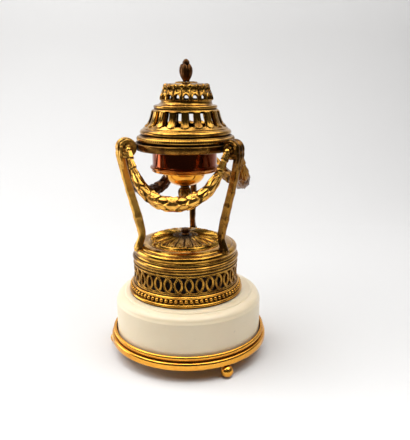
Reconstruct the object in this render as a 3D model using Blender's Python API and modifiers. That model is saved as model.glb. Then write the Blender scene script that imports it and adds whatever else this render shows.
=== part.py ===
# Gilt bronze and white marble perfume burner in the Louis XVI taste.
# Three scrolled legs stand on a domed cover over a pierced gallery and carry a burner under a pierced lid.
# The work is three-fold about a vertical axis. Its front is towards -Y, and it stands on the floor at z = 0.

import math

import bmesh
import bpy
from mathutils import Matrix, Vector

MM = 0.001
GAP = 0.3 * MM

# Ball feet
BALL_RADIUS = 3.95 * MM
BALL_FLAT = 0.15 * MM
BALL_SEGMENTS = 10
FOOT_INSET = 1.9 * MM
FOOT_FIRST_AZIMUTH = 29.4

# Gilt base ring that holds the marble
RING_PROJECTION = 4.2 * MM
RING_LEDGE = 5.3 * MM
RING_BAND_HEIGHT = 5.0 * MM
RING_BAND_BULGE = 1.0 * MM
RING_BEAD_STEP = 0.6 * MM
RING_GROOVE_DEPTH = 2.2 * MM
RING_BEAD_RADIUS = 1.6 * MM

# White marble drum
MARBLE_RADIUS = 48.3 * MM
MARBLE_SIDE_HEIGHT = 23.3 * MM
MARBLE_SHOULDER_HEIGHT = 4.4 * MM
MARBLE_SHOULDER_WIDTH = 5.6 * MM
MARBLE_STEP = 0.7 * MM

# Beaded collar under the gallery. The gilt work sits a little off the middle of the marble.
GILT_OFFSET_X = -1.7 * MM
PLATE_RADIUS = 37.9 * MM
PLATE_HEIGHT = 2.5 * MM
BEAD_COUNT = 72
BEAD_RADIUS = 1.3 * MM
BEAD_CIRCLE_RADIUS = 36.1 * MM
BEAD_STEP = 0.3 * MM
COLLAR_FILLET_HEIGHT = 1.5 * MM
COLLAR_FILLET_RADIUS = 35.9 * MM

# Pierced gallery of interlaced circles
GALLERY_RADIUS = 34.7 * MM
GALLERY_WALL = 1.3 * MM
GALLERY_HEIGHT = 12.9 * MM
GALLERY_CIRCLES = 32
GALLERY_CIRCLE_RADIUS = 5.75 * MM
GALLERY_BAND = 1.4 * MM

# Cornice over the gallery
CORNICE_RADIUS = 35.1 * MM
CORNICE_HEIGHT = 4.9 * MM
CORNICE_WALL = 2.6 * MM

# Domed cover with radiating petals
DOME_RIM_RADIUS = 34.4 * MM
DOME_RIM_HEIGHT = 1.1 * MM
DOME_RIM_STEP = 0.3 * MM
DOME_TORUS = 2.3 * MM
DOME_OVOLO_HEIGHT = 1.8 * MM
DOME_FIELD_EDGE = 0.4 * MM
DOME_FIELD_STEP = 1.65 * MM
DOME_FIELD_RADIUS = 23.4 * MM
DOME_FIELD_RISE = 2.25 * MM
DOME_HOLLOW_RADIUS = 27.4 * MM
DOME_DISC_RADIUS = 8.2 * MM
DOME_WALL = 1.5 * MM
PETAL_COUNT = 24
PETAL_RELIEF = 0.7 * MM
DISC_STEP = 0.4 * MM
BOSS_RADIUS = 2.9 * MM
BOSS_HEIGHT = 4.6 * MM
BUD_SEGMENTS = 12

# Scrolled legs
LEG_FIRST_AZIMUTH = -68.0
LEG_FOOT_RADIUS = 31.9 * MM
LEG_FOOT_DROP = 3.5 * MM
LEG_ANKLE_RADIUS = 29.9 * MM
LEG_ANKLE_HEIGHT = 10.4 * MM
LEG_DEPTH = 4.8 * MM
LEG_WIDTH = 5.0 * MM
VOLUTE_RADIUS = 5.9 * MM
VOLUTE_WIDTH = 7.6 * MM
VOLUTE_HEIGHT = 138.0 * MM
VOLUTE_SINK = 0.9 * MM
VOLUTE_SIDES = 10
STEM_SIDES = 6

# Laurel garlands
GARLAND_REACH = {"front": 38.5 * MM, "right": 38.0 * MM, "left": 30.5 * MM}
GARLAND_DROP = {"front": 30.0 * MM, "right": 26.5 * MM, "left": 34.0 * MM}
GARLAND_THICKNESS = 8.0 * MM
GARLAND_END_THICKNESS = 3.4 * MM
GARLAND_TIERS = 4
GARLAND_SIDES = 6

# Tray ring and burner
TRAY_RADIUS = 31.6 * MM
TRAY_HEIGHT = 4.6 * MM
TRAY_DROP = 2.6 * MM
DRUM_RADIUS = 20.5 * MM
DRUM_HEIGHT = 10.9 * MM
LEDGE_RADIUS = 22.1 * MM
LEDGE_HEIGHT = 3.4 * MM
BOWL_RADIUS = 13.2 * MM
BOWL_DEPTH = 9.4 * MM
BURNER_WALL = 1.3 * MM
PENDANT_RADIUS = 4.5 * MM
PENDANT_HEIGHT = 12.0 * MM

# Pierced lid
LID_TORUS_RADIUS = 30.8 * MM
LID_TORUS_HEIGHT = 3.9 * MM
LID_FILLET_HEIGHT = 3.6 * MM
LID_SKIRT_RADIUS = 27.3 * MM
LID_SKIRT_HEIGHT = 13.4 * MM
LID_NECK_RADIUS = 19.7 * MM
LID_NECK_HEIGHT = 2.9 * MM
LID_COVE_HEIGHT = 1.4 * MM
LID_CROWN_RADIUS = 16.2 * MM
LID_CROWN_TOP_RADIUS = 13.4 * MM
LID_CROWN_HEIGHT = 8.8 * MM
LID_CROWN_RISE = 2.2 * MM
LID_WALL = 1.2 * MM
LID_SLOTS = 18
SLOT_SHARE = 0.42
SLOT_DROP = 1.4 * MM
SLOT_HEIGHT = 8.7 * MM
WINDOW_HEIGHT = 3.4 * MM
LID_TURN = 11.0
CROWN_TURN = 1.0
LID_OFFSET_X = 0.8 * MM
FINIAL_OFFSET_X = 0.6 * MM
FINIAL_RADIUS = 4.1 * MM
FINIAL_HEIGHT = 13.4 * MM
FINIAL_SEGMENTS = 10

# The base ring goes round the marble, and the feet stand under the ring
RING_RADIUS = MARBLE_RADIUS + RING_PROJECTION
RING_INNER_RADIUS = MARBLE_RADIUS - RING_LEDGE
FOOT_CIRCLE_RADIUS = RING_RADIUS - FOOT_INSET

# Heights, each worked out from what carries the piece
RING_Z = 2 * BALL_RADIUS - BALL_FLAT + GAP
RING_BEAD_Z = RING_Z + RING_BAND_HEIGHT + RING_BEAD_STEP + RING_BEAD_RADIUS
MARBLE_Z = RING_Z + RING_BAND_HEIGHT + GAP
MARBLE_TOP_Z = MARBLE_Z + MARBLE_SIDE_HEIGHT + MARBLE_SHOULDER_HEIGHT + MARBLE_STEP
COLLAR_Z = MARBLE_TOP_Z + GAP
BEAD_Z = COLLAR_Z + PLATE_HEIGHT + BEAD_STEP + BEAD_RADIUS
COLLAR_TOP_Z = BEAD_Z + BEAD_RADIUS + COLLAR_FILLET_HEIGHT
GALLERY_Z = COLLAR_TOP_Z + GAP
CORNICE_Z = GALLERY_Z + GALLERY_HEIGHT + GAP
DOME_Z = CORNICE_Z + CORNICE_HEIGHT + GAP
DOME_TORUS_Z = DOME_Z + DOME_RIM_HEIGHT + DOME_TORUS
DOME_OVOLO_Z = DOME_TORUS_Z + DOME_TORUS
DOME_FIELD_Z = DOME_OVOLO_Z + DOME_OVOLO_HEIGHT + DOME_FIELD_STEP
DOME_DISC_Z = DOME_FIELD_Z + DOME_FIELD_RISE
TRAY_Z = VOLUTE_HEIGHT - TRAY_DROP
TRAY_TOP_Z = TRAY_Z + TRAY_HEIGHT
LEDGE_Z = TRAY_Z - DRUM_HEIGHT - LEDGE_HEIGHT
BOWL_Z = LEDGE_Z - BOWL_DEPTH
LID_Z = TRAY_TOP_Z + GAP
LID_SKIRT_Z = LID_Z + LID_TORUS_HEIGHT + LID_FILLET_HEIGHT
LID_NECK_Z = LID_SKIRT_Z + LID_SKIRT_HEIGHT
LID_CROWN_Z = LID_NECK_Z + LID_NECK_HEIGHT + LID_COVE_HEIGHT
LID_TOP_Z = LID_CROWN_Z + LID_CROWN_HEIGHT + LID_CROWN_RISE

# The legs' scrolls stand against the tray's rim
VOLUTE_CENTRE_RADIUS = TRAY_RADIUS + GAP + VOLUTE_RADIUS

# The origin is under the middle of the footprint: the left foot stands out past the base ring
LEFT_REACH = FOOT_CIRCLE_RADIUS * abs(math.sin(math.radians(FOOT_FIRST_AZIMUTH - 120))) + BALL_RADIUS
BASE_X = max(LEFT_REACH - RING_RADIUS, 0) / 2
GILT_X = BASE_X + GILT_OFFSET_X

SEGMENTS = 32
BURNER_SEGMENTS = 24
SAME_PLACE = 0.02 * MM


def clear_scene():
    for item in list(bpy.data.objects):
        bpy.data.objects.remove(item, do_unlink=True)


def new_material(name, colour, roughness, metallic):
    material = bpy.data.materials.new(name)
    material.use_nodes = True
    shader = material.node_tree.nodes["Principled BSDF"]
    shader.inputs["Base Color"].default_value = (*colour, 1.0)
    shader.inputs["Roughness"].default_value = roughness
    shader.inputs["Metallic"].default_value = metallic
    material.diffuse_color = (*colour, 1.0)
    return material


def add_object(name, data, collection, material, location=(0, 0, 0), azimuth=None):
    """Azimuths are in degrees, from the front (-Y) towards +X; a piece with one is modelled along +X."""
    item = bpy.data.objects.new(name, data)
    collection.objects.link(item)
    item.location = location
    if azimuth is not None:
        item.rotation_euler.z = math.radians(azimuth - 90)
    if not data.materials:
        data.materials.append(material)
    return item


def smooth(data, angle=50):
    data.shade_smooth()
    data.set_sharp_from_angle(angle=math.radians(angle))


def profile_mesh(name, points, closed):
    data = bpy.data.meshes.new(name)
    edges = [(i, i + 1) for i in range(len(points) - 1)]
    if closed:
        edges.append((len(points) - 1, 0))
    data.from_pydata([(r, 0, z) for r, z in points], edges, [])
    return data


def turned(name, points, closed, collection, material, location=(0, 0, 0), segments=SEGMENTS):
    """Turn a profile, listed down its outer side from the top, about the vertical axis."""
    item = add_object(name, profile_mesh(name, points, closed), collection, material, location)
    screw = item.modifiers.new("turn", "SCREW")
    screw.steps = segments
    screw.render_steps = segments
    screw.use_merge_vertices = True
    screw.merge_threshold = 0.00001
    screw.use_smooth_shade = True
    screw.use_normal_calculate = False
    return item


def arc(centre_r, centre_z, radius, start, end, steps):
    """Points of an arc in a profile; angles in degrees, 0 outwards and 90 up."""
    points = []
    for i in range(steps + 1):
        angle = math.radians(start + (end - start) * i / steps)
        points.append((centre_r + radius * math.cos(angle), centre_z + radius * math.sin(angle)))
    return points


def blend(a, b, t):
    return a + (b - a) * t


def ring_of(bm, radius, z, count):
    ring = []
    for i in range(count):
        angle = 2 * math.pi * i / count
        ring.append(bm.verts.new((radius * math.cos(angle), radius * math.sin(angle), z)))
    return ring


def bridge(bm, lower, upper):
    """Join two rings that run anticlockwise; one may have a whole multiple of the other's points."""
    if len(lower) == len(upper):
        count = len(lower)
        for i in range(count):
            j = (i + 1) % count
            bm.faces.new((lower[i], lower[j], upper[j], upper[i]))
        return
    fine, coarse = (lower, upper) if len(lower) > len(upper) else (upper, lower)
    share = len(fine) // len(coarse)
    half = share // 2
    for i in range(len(coarse)):
        j = (i + 1) % len(coarse)
        for k in range(share):
            a = fine[(i * share + k) % len(fine)]
            b = fine[(i * share + k + 1) % len(fine)]
            corner = coarse[i] if k < half else coarse[j]
            bm.faces.new((a, b, corner) if fine is lower else (b, a, corner))
        middle = fine[(i * share + half) % len(fine)]
        triangle = (coarse[i], middle, coarse[j])
        bm.faces.new(triangle if fine is lower else triangle[::-1])


def cap(bm, ring, upwards):
    bm.faces.new(ring if upwards else ring[::-1])


def finish_mesh(bm, name, angle=50):
    bmesh.ops.recalc_face_normals(bm, faces=bm.faces)
    data = bpy.data.meshes.new(name)
    bm.to_mesh(data)
    bm.free()
    smooth(data, angle)
    return data


def make_feet(collection, material):
    """Balls, each with a small flat spot where it stands."""
    centre = BALL_RADIUS - BALL_FLAT
    lowest = -math.degrees(math.asin(centre / BALL_RADIUS))
    points = [
        *arc(0, centre, BALL_RADIUS, 90, 0, 3),
        *arc(0, centre, BALL_RADIUS, lowest / 2, lowest, 1),
        (0, 0),
    ]
    for i, place in enumerate(("right", "left", "back")):
        angle = math.radians(FOOT_FIRST_AZIMUTH - 120 * i)
        location = (BASE_X + FOOT_CIRCLE_RADIUS * math.sin(angle), -FOOT_CIRCLE_RADIUS * math.cos(angle), 0)
        turned("ball_foot_" + place, points, False, collection, material, location, BALL_SEGMENTS)


def make_base_ring(collection, material):
    inner = RING_INNER_RADIUS
    band_top = RING_Z + RING_BAND_HEIGHT
    bead_r = MARBLE_RADIUS + GAP + RING_BEAD_RADIUS * 0.8
    edge = RING_RADIUS - RING_BAND_BULGE
    points = [
        *arc(bead_r, RING_BEAD_Z, RING_BEAD_RADIUS, 100, -40, 2),
        (RING_RADIUS - RING_GROOVE_DEPTH, band_top),
        (edge, band_top),
        (RING_RADIUS, blend(RING_Z, band_top, 0.5)),
        (edge, RING_Z),
        (inner, RING_Z),
        (inner, MARBLE_Z - GAP),
        (MARBLE_RADIUS + GAP, MARBLE_Z - GAP),
    ]
    return turned("base_ring", points, True, collection, material, (BASE_X, 0, 0))


def make_marble(collection, material):
    side_top = MARBLE_Z + MARBLE_SIDE_HEIGHT
    shoulder_top = side_top + MARBLE_SHOULDER_HEIGHT
    inner = MARBLE_RADIUS - MARBLE_SHOULDER_WIDTH
    points = [
        (0, MARBLE_TOP_Z),
        (inner - MARBLE_STEP, MARBLE_TOP_Z),
        (inner, shoulder_top),
        (MARBLE_RADIUS - MARBLE_SHOULDER_WIDTH * 0.38, side_top + MARBLE_SHOULDER_HEIGHT * 0.62),
        (MARBLE_RADIUS - 0.6 * MM, side_top + 0.9 * MM),
        (MARBLE_RADIUS, side_top),
        (MARBLE_RADIUS, MARBLE_Z),
        (0, MARBLE_Z),
    ]
    return turned("marble_plinth", points, False, collection, material, (BASE_X, 0, 0))


def make_collar(collection, material):
    """A plate, a row of beads that stand out of the wall, and a fillet over them."""
    bm = bmesh.new()
    inner = GALLERY_RADIUS - GALLERY_WALL
    wall = BEAD_CIRCLE_RADIUS - BEAD_RADIUS / 2
    peak = BEAD_CIRCLE_RADIUS + BEAD_RADIUS
    plate_edge = PLATE_RADIUS - 0.3 * PLATE_HEIGHT
    plate_top = COLLAR_Z + PLATE_HEIGHT
    coarse = BEAD_COUNT // 2
    below = [
        ring_of(bm, inner, COLLAR_Z, coarse),
        ring_of(bm, PLATE_RADIUS, COLLAR_Z, coarse),
        ring_of(bm, plate_edge, plate_top, coarse),
        ring_of(bm, wall, BEAD_Z - BEAD_RADIUS, BEAD_COUNT),
    ]
    above = [
        ring_of(bm, wall, BEAD_Z + BEAD_RADIUS, BEAD_COUNT),
        ring_of(bm, COLLAR_FILLET_RADIUS, BEAD_Z + BEAD_RADIUS + 0.3 * COLLAR_FILLET_HEIGHT, coarse),
        ring_of(bm, COLLAR_FILLET_RADIUS - 0.3 * COLLAR_FILLET_HEIGHT, COLLAR_TOP_Z, coarse),
        ring_of(bm, inner, COLLAR_TOP_Z, coarse),
        below[0],
    ]
    for rings in (below, above):
        for lower, upper in zip(rings, rings[1:]):
            bridge(bm, lower, upper)
    for i in range(BEAD_COUNT):
        j = (i + 1) % BEAD_COUNT
        angle = 2 * math.pi * (i + 0.5) / BEAD_COUNT
        tip = bm.verts.new((peak * math.cos(angle), peak * math.sin(angle), BEAD_Z))
        corners = (below[-1][i], below[-1][j], above[0][j], above[0][i])
        for k in range(4):
            bm.faces.new((corners[k], corners[(k + 1) % 4], tip))
    data = finish_mesh(bm, "beaded_collar", 35)
    return add_object("beaded_collar", data, collection, material, (GILT_X, 0, 0))


def gallery_cell():
    """Polygons of one circle's share of the wall, as (along, up) from the circle's centre."""
    half_pitch = math.pi * GALLERY_RADIUS / GALLERY_CIRCLES
    half_height = GALLERY_HEIGHT / 2
    outer = GALLERY_CIRCLE_RADIUS + GALLERY_BAND / 2
    inner = GALLERY_CIRCLE_RADIUS - GALLERY_BAND / 2
    eye_height = math.sqrt(inner ** 2 - half_pitch ** 2)
    bend_height = 0.45 * eye_height
    bend = 2 * half_pitch - math.sqrt(inner ** 2 - bend_height ** 2)
    apex_height = 0.19 * outer
    corner = 0.74 * half_pitch
    corner_height = math.sqrt(inner ** 2 - corner ** 2)
    polygons = []
    for side in (-1, 1):
        polygons.append([(side * bend, bend_height), (side * bend, -bend_height), (0, -apex_height), (0, apex_height)])
        for up in (-1, 1):
            polygons.append([(side * half_pitch, up * eye_height), (side * bend, up * bend_height),
                             (0, up * apex_height), (side * corner, up * corner_height)])
            polygons.append([(side * half_pitch, up * eye_height), (side * corner, up * corner_height),
                             (side * half_pitch, up * half_height)])
    for up in (-1, 1):
        polygons.append([(-corner, up * corner_height), (corner, up * corner_height),
                         (half_pitch, up * half_height), (-half_pitch, up * half_height)])
    return polygons


def make_gallery(collection, material):
    bm = bmesh.new()
    cell = gallery_cell()
    pitch_angle = 2 * math.pi / GALLERY_CIRCLES
    half_pitch = math.pi * GALLERY_RADIUS / GALLERY_CIRCLES
    middle = GALLERY_Z + GALLERY_HEIGHT / 2
    verts = {}

    def vert(layer, index, along, up):
        angle = pitch_angle * index + pitch_angle / 2 * along / half_pitch
        radius = GALLERY_RADIUS - layer * GALLERY_WALL
        place = (radius * math.cos(angle), radius * math.sin(angle), middle + up)
        key = (layer, *(round(value / SAME_PLACE) for value in place))
        if key not in verts:
            verts[key] = bm.verts.new(place)
        return verts[key]

    edge_use = {}
    for index in range(GALLERY_CIRCLES):
        for polygon in cell:
            outer = [vert(0, index, along, up) for along, up in polygon]
            inner = [vert(1, index, along, up) for along, up in polygon]
            bm.faces.new(outer)
            bm.faces.new(inner[::-1])
            for k in range(len(polygon)):
                n = (k + 1) % len(polygon)
                key = frozenset((outer[k], outer[n]))
                edge_use.setdefault(key, []).append((outer[k], outer[n], inner[n], inner[k]))
    for quads in edge_use.values():
        if len(quads) == 1:
            bm.faces.new(quads[0][::-1])
    bmesh.ops.triangulate(bm, faces=bm.faces)
    data = finish_mesh(bm, "pierced_gallery", 30)
    return add_object("pierced_gallery", data, collection, material, (GILT_X, 0, 0))


def make_cornice(collection, material):
    inner = CORNICE_RADIUS - CORNICE_WALL
    top = CORNICE_Z + CORNICE_HEIGHT
    points = [
        (CORNICE_RADIUS - 0.8 * MM, top),
        (CORNICE_RADIUS, blend(top, CORNICE_Z, 0.3)),
        (CORNICE_RADIUS - 1.1 * MM, CORNICE_Z),
        (inner, CORNICE_Z),
        (inner, top),
    ]
    return turned("gallery_cornice", points, True, collection, material, (GILT_X, 0, 0))


def dome_profile():
    """Outer profile from the rim up to the field of petals: a torus, then a broad ovolo."""
    torus_r = DOME_RIM_RADIUS - DOME_RIM_STEP - DOME_TORUS
    ovolo_r = DOME_FIELD_RADIUS + DOME_FIELD_EDGE
    points = [
        (DOME_RIM_RADIUS, DOME_Z),
        (DOME_RIM_RADIUS, DOME_Z + DOME_RIM_HEIGHT),
        *arc(torus_r, DOME_TORUS_Z, DOME_TORUS, -40, 100, 2),
    ]
    for turn in (10, 45, 85):
        angle = math.radians(turn)
        radius = blend(ovolo_r, torus_r, math.cos(angle))
        points.append((radius, DOME_OVOLO_Z + DOME_OVOLO_HEIGHT * math.sin(angle)))
    return points


def petal_rows():
    """(radius, height, relief) along the petals, from their round ends to the disc."""
    rows = []
    for share in (0.0, 0.45, 1.0):
        radius = blend(DOME_FIELD_RADIUS, DOME_DISC_RADIUS, share)
        height = DOME_FIELD_Z + DOME_FIELD_RISE * math.sin(share * math.pi / 2)
        relief = PETAL_RELIEF * math.sin(math.pi * (0.25 + 0.65 * share))
        rows.append((radius, height, relief))
    return rows


def make_dome(collection, material):
    bm = bmesh.new()
    fine = 2 * PETAL_COUNT
    rings = [ring_of(bm, r, z, fine) for r, z in dome_profile()]
    for radius, height, relief in petal_rows():
        ring = ring_of(bm, radius, height, fine)
        for i, vert in enumerate(ring):
            vert.co.z += relief / 2 if i % 2 else -relief / 2
        rings.append(ring)
    disc_z = DOME_DISC_Z - DISC_STEP
    rings.append(ring_of(bm, DOME_DISC_RADIUS - DISC_STEP, disc_z, PETAL_COUNT))
    for lower, upper in zip(rings, rings[1:]):
        bridge(bm, lower, upper)
    cap(bm, rings[-1], True)
    under = [
        rings[0],
        ring_of(bm, DOME_HOLLOW_RADIUS, DOME_Z, PETAL_COUNT),
        ring_of(bm, DOME_HOLLOW_RADIUS, DOME_OVOLO_Z, PETAL_COUNT),
        ring_of(bm, DOME_DISC_RADIUS, disc_z - DOME_WALL, PETAL_COUNT),
    ]
    for outer, inner in zip(under, under[1:]):
        bridge(bm, outer, inner)
    cap(bm, under[-1], False)
    data = finish_mesh(bm, "domed_cover", 30)
    return add_object("domed_cover", data, collection, material, (GILT_X, 0, 0))


def make_boss(collection, material):
    base = DOME_DISC_Z - DISC_STEP + GAP
    points = [
        (0, base + BOSS_HEIGHT),
        (BOSS_RADIUS * 0.62, base + BOSS_HEIGHT * 0.92),
        (BOSS_RADIUS, base + BOSS_HEIGHT * 0.6),
        (BOSS_RADIUS * 0.86, base),
        (0, base),
    ]
    return turned("cover_boss", points, False, collection, material, (GILT_X, 0, 0), BUD_SEGMENTS)


def leg_path():
    """Middle line of a leg as (radius, height, depth, width), from the foot to the scroll."""
    foot_z = leg_foot_z()
    ankle_z = foot_z + LEG_ANKLE_HEIGHT
    outer = VOLUTE_CENTRE_RADIUS + VOLUTE_RADIUS - LEG_DEPTH * 0.4
    rise = VOLUTE_HEIGHT - ankle_z
    points = [
        (LEG_FOOT_RADIUS + 0.2 * MM, foot_z, 1.15, 1.25),
        (LEG_FOOT_RADIUS, foot_z + 0.22 * LEG_ANKLE_HEIGHT, 1.35, 1.4),
        (LEG_FOOT_RADIUS - 0.3 * MM, foot_z + 0.55 * LEG_ANKLE_HEIGHT, 1.05, 1.0),
        (LEG_ANKLE_RADIUS, ankle_z, 0.95, 0.9),
    ]
    for t in (0.17, 0.34, 0.5, 0.64, 0.76, 0.88, 1.0):
        bow = math.sin(t * math.pi / 2) ** 1.6
        radius = LEG_ANKLE_RADIUS + (outer - LEG_ANKLE_RADIUS) * blend(t, bow, 0.45)
        wide = blend(1.0, VOLUTE_WIDTH / LEG_WIDTH, max(0.0, (t - 0.62) / 0.38))
        deep = blend(1.0, 0.8, t)
        points.append((radius, ankle_z + rise * t, deep, wide))
    return [(r, z, d * LEG_DEPTH, w * LEG_WIDTH) for r, z, d, w in points]


def leg_foot_z():
    """The foot's sole lies on the dome's torus; the ovolo is cut out of it."""
    top = max(z for r, z in dome_profile())
    return top - LEG_FOOT_DROP


def section(bm, centre, along, depth, width):
    """A bar's section with blunt corners; the leg lies in the XZ plane."""
    across = Vector((along.z, 0, -along.x)).normalized()
    bluntness = 0.7
    ring = []
    for i in range(STEM_SIDES):
        angle = 2 * math.pi * (i + 0.5) / STEM_SIDES
        cosine = math.cos(angle)
        sine = math.sin(angle)
        x = math.copysign(abs(cosine) ** bluntness, cosine) * depth / 2
        y = math.copysign(abs(sine) ** bluntness, sine) * width / 2
        ring.append(bm.verts.new(centre + across * x + Vector((0, y, 0))))
    return ring


def volute_mesh(name):
    """The scroll's disc, turned about the leg's own cross axis, with a sunk face and a raised eye."""
    half = VOLUTE_WIDTH / 2
    rim = 0.3 * MM
    eye = half - VOLUTE_SINK / 2
    profile = [
        (VOLUTE_RADIUS * 0.66, half - VOLUTE_SINK),
        (VOLUTE_RADIUS * 0.78, half),
        (VOLUTE_RADIUS, half - rim),
    ]
    profile += [(r, -z) for r, z in profile[::-1]]
    bm = bmesh.new()
    rings = [ring_of(bm, r, z, VOLUTE_SIDES) for r, z in profile]
    for upper, lower in zip(rings, rings[1:]):
        bridge(bm, lower, upper)
    for ring, z in ((rings[0], eye), (rings[-1], -eye)):
        centre = bm.verts.new((0, 0, z))
        for i in range(VOLUTE_SIDES):
            bm.faces.new((ring[i], ring[(i + 1) % VOLUTE_SIDES], centre))
    turn = Matrix.Translation((VOLUTE_CENTRE_RADIUS, 0, VOLUTE_HEIGHT)) @ Matrix.Rotation(math.pi / 2, 4, "X")
    bmesh.ops.transform(bm, matrix=turn, verts=bm.verts)
    return finish_mesh(bm, name)


def stem_mesh(name):
    bm = bmesh.new()
    path = leg_path()
    rings = []
    for i, (r, z, depth, width) in enumerate(path):
        before = path[max(i - 1, 0)]
        after = path[min(i + 1, len(path) - 1)]
        along = Vector((after[0] - before[0], 0, after[1] - before[1]))
        if i == 0:
            along = Vector((0, 0, 1))
        rings.append(section(bm, Vector((r, 0, z)), along, depth, width))
    for lower, upper in zip(rings, rings[1:]):
        bridge(bm, lower, upper)
    cap(bm, rings[0], False)
    cap(bm, rings[-1], True)
    return finish_mesh(bm, name)


def seat_mesh(name):
    """The dome's outside grown by the gap, to cut the seat of a foot."""
    bm = bmesh.new()
    profile = [(DOME_RIM_RADIUS, DOME_Z - 2 * GAP), *dome_profile()]
    profile += [(r, z + relief / 2) for r, z, relief in petal_rows()]
    rings = [ring_of(bm, r + GAP, z + GAP, 2 * PETAL_COUNT) for r, z in profile]
    for lower, upper in zip(rings, rings[1:]):
        bridge(bm, lower, upper)
    cap(bm, rings[0], False)
    cap(bm, rings[-1], True)
    return finish_mesh(bm, name)


def make_legs(collection, cutters, material):
    stem = bpy.data.objects.new("leg_stem", stem_mesh("leg_stem"))
    volute = bpy.data.objects.new("leg_volute", volute_mesh("leg_volute"))
    seat = bpy.data.objects.new("leg_seat", seat_mesh("leg_seat"))
    for item in (stem, volute, seat):
        cutters.objects.link(item)
        item.hide_render = True
        item.display_type = "WIRE"
    for name, operation, other in (("scroll", "UNION", volute), ("seat", "DIFFERENCE", seat)):
        boolean = stem.modifiers.new(name, "BOOLEAN")
        boolean.operation = operation
        boolean.solver = "EXACT"
        boolean.object = other
    evaluated = stem.evaluated_get(bpy.context.evaluated_depsgraph_get())
    data = bpy.data.meshes.new_from_object(evaluated)
    data.name = "scroll_leg"
    stem.modifiers.clear()
    smooth(data, 40)
    for i, place in enumerate(("left", "right", "back")):
        add_object("scroll_leg_" + place, data, collection, material, (GILT_X, 0, 0), LEG_FIRST_AZIMUTH + 120 * i)


def garland_point(t, reach, drop):
    """Middle line of a garland along +X; t runs from -1 to 1 over the swag."""
    end_offset = VOLUTE_WIDTH / 2 + GAP + GARLAND_END_THICKNESS / 2
    end_angle = math.pi / 3 - math.asin(end_offset / VOLUTE_CENTRE_RADIUS)
    angle = t * end_angle
    end_radius = math.hypot(VOLUTE_CENTRE_RADIUS, end_offset)
    radius = blend(reach, end_radius, abs(t) ** 2.5)
    height = VOLUTE_HEIGHT - drop * (1 - 0.6 * t ** 2 - 0.4 * t ** 4)
    return Vector((radius * math.cos(angle), radius * math.sin(angle), height))


def garland_stations():
    """(t, thickness) along one half from the end to the middle: a thin stalk, a collar, then tiers of leaves."""
    stations = [(1.0, 1.0), (0.94, 1.0), (0.80, 1.3), (0.775, 1.6)]
    thick = GARLAND_THICKNESS / GARLAND_END_THICKNESS
    for tier in range(GARLAND_TIERS):
        start = blend(0.74, 0.0, tier / GARLAND_TIERS)
        end = blend(0.74, 0.0, (tier + 1) / GARLAND_TIERS)
        full = blend(0.68, 1.0, math.sin((tier + 0.5) / GARLAND_TIERS * math.pi / 2)) * thick
        stations.append((blend(start, end, 0.15), full * 0.82))
        stations.append((blend(start, end, 0.7), full))
    return [(t, share * GARLAND_END_THICKNESS) for t, share in stations]


def garland_mesh(name, reach, drop):
    bm = bmesh.new()
    half = garland_stations()
    stations = half + [(0.0, GARLAND_THICKNESS * 0.92)] + [(-t, thickness) for t, thickness in half[::-1]]
    rings = []
    for t, thickness in stations:
        centre = garland_point(t, reach, drop)
        along = (garland_point(t - 0.01, reach, drop) - garland_point(t + 0.01, reach, drop)).normalized()
        outwards = Vector((centre.x, centre.y, 0)).normalized()
        side = along.cross(outwards).normalized()
        outwards = side.cross(along).normalized()
        ring = []
        for i in range(GARLAND_SIDES):
            angle = 2 * math.pi * i / GARLAND_SIDES
            spread = outwards * math.cos(angle) + side * math.sin(angle)
            ring.append(bm.verts.new(centre + spread * thickness / 2))
        rings.append(ring)
    for lower, upper in zip(rings, rings[1:]):
        bridge(bm, lower, upper)
    cap(bm, rings[0], False)
    cap(bm, rings[-1], True)
    return finish_mesh(bm, name, 25)


def make_garlands(collection, material):
    """The left one has been pushed in and hangs lower than the others."""
    for i, place in enumerate(("front", "right", "left")):
        name = "garland_" + place
        data = garland_mesh(name, GARLAND_REACH[place], GARLAND_DROP[place])
        add_object(name, data, collection, material, (GILT_X, 0, 0), LEG_FIRST_AZIMUTH + 60 + 120 * i)


def make_tray(collection, material):
    inner = DRUM_RADIUS + GAP
    points = [
        (TRAY_RADIUS - 0.5 * MM, TRAY_TOP_Z),
        (TRAY_RADIUS, blend(TRAY_TOP_Z, TRAY_Z, 0.15)),
        (TRAY_RADIUS - 0.9 * MM, TRAY_Z),
        (inner, TRAY_Z),
        (inner, TRAY_TOP_Z),
    ]
    return turned("tray_ring", points, True, collection, material, (GILT_X, 0, 0))


def make_burner(collection, material):
    """Drum, ledge and bowl in one turned shell, open at the top."""
    wall = BURNER_WALL
    ledge_top = LEDGE_Z + LEDGE_HEIGHT
    bowl_middle = blend(BOWL_Z, LEDGE_Z, 0.5)
    bowl_low = blend(BOWL_Z, LEDGE_Z, 0.16)
    points = [
        (0, BOWL_Z + wall),
        (BOWL_RADIUS * 0.6 - wall / 2, bowl_low + wall),
        (BOWL_RADIUS - wall, LEDGE_Z + wall),
        (DRUM_RADIUS - wall, ledge_top + wall / 2),
        (DRUM_RADIUS - wall, TRAY_TOP_Z),
        (DRUM_RADIUS, TRAY_TOP_Z),
        (DRUM_RADIUS, ledge_top + 1.2 * MM),
        (LEDGE_RADIUS - 0.5 * MM, ledge_top),
        (LEDGE_RADIUS, blend(ledge_top, LEDGE_Z, 0.35)),
        (LEDGE_RADIUS - 1.6 * MM, LEDGE_Z + 0.5 * MM),
        (BOWL_RADIUS, LEDGE_Z),
        (BOWL_RADIUS * 0.86, bowl_middle),
        (BOWL_RADIUS * 0.6, bowl_low),
        (0, BOWL_Z),
    ]
    return turned("burner_bowl", points, False, collection, material, (GILT_X, 0, 0), BURNER_SEGMENTS)


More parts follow.
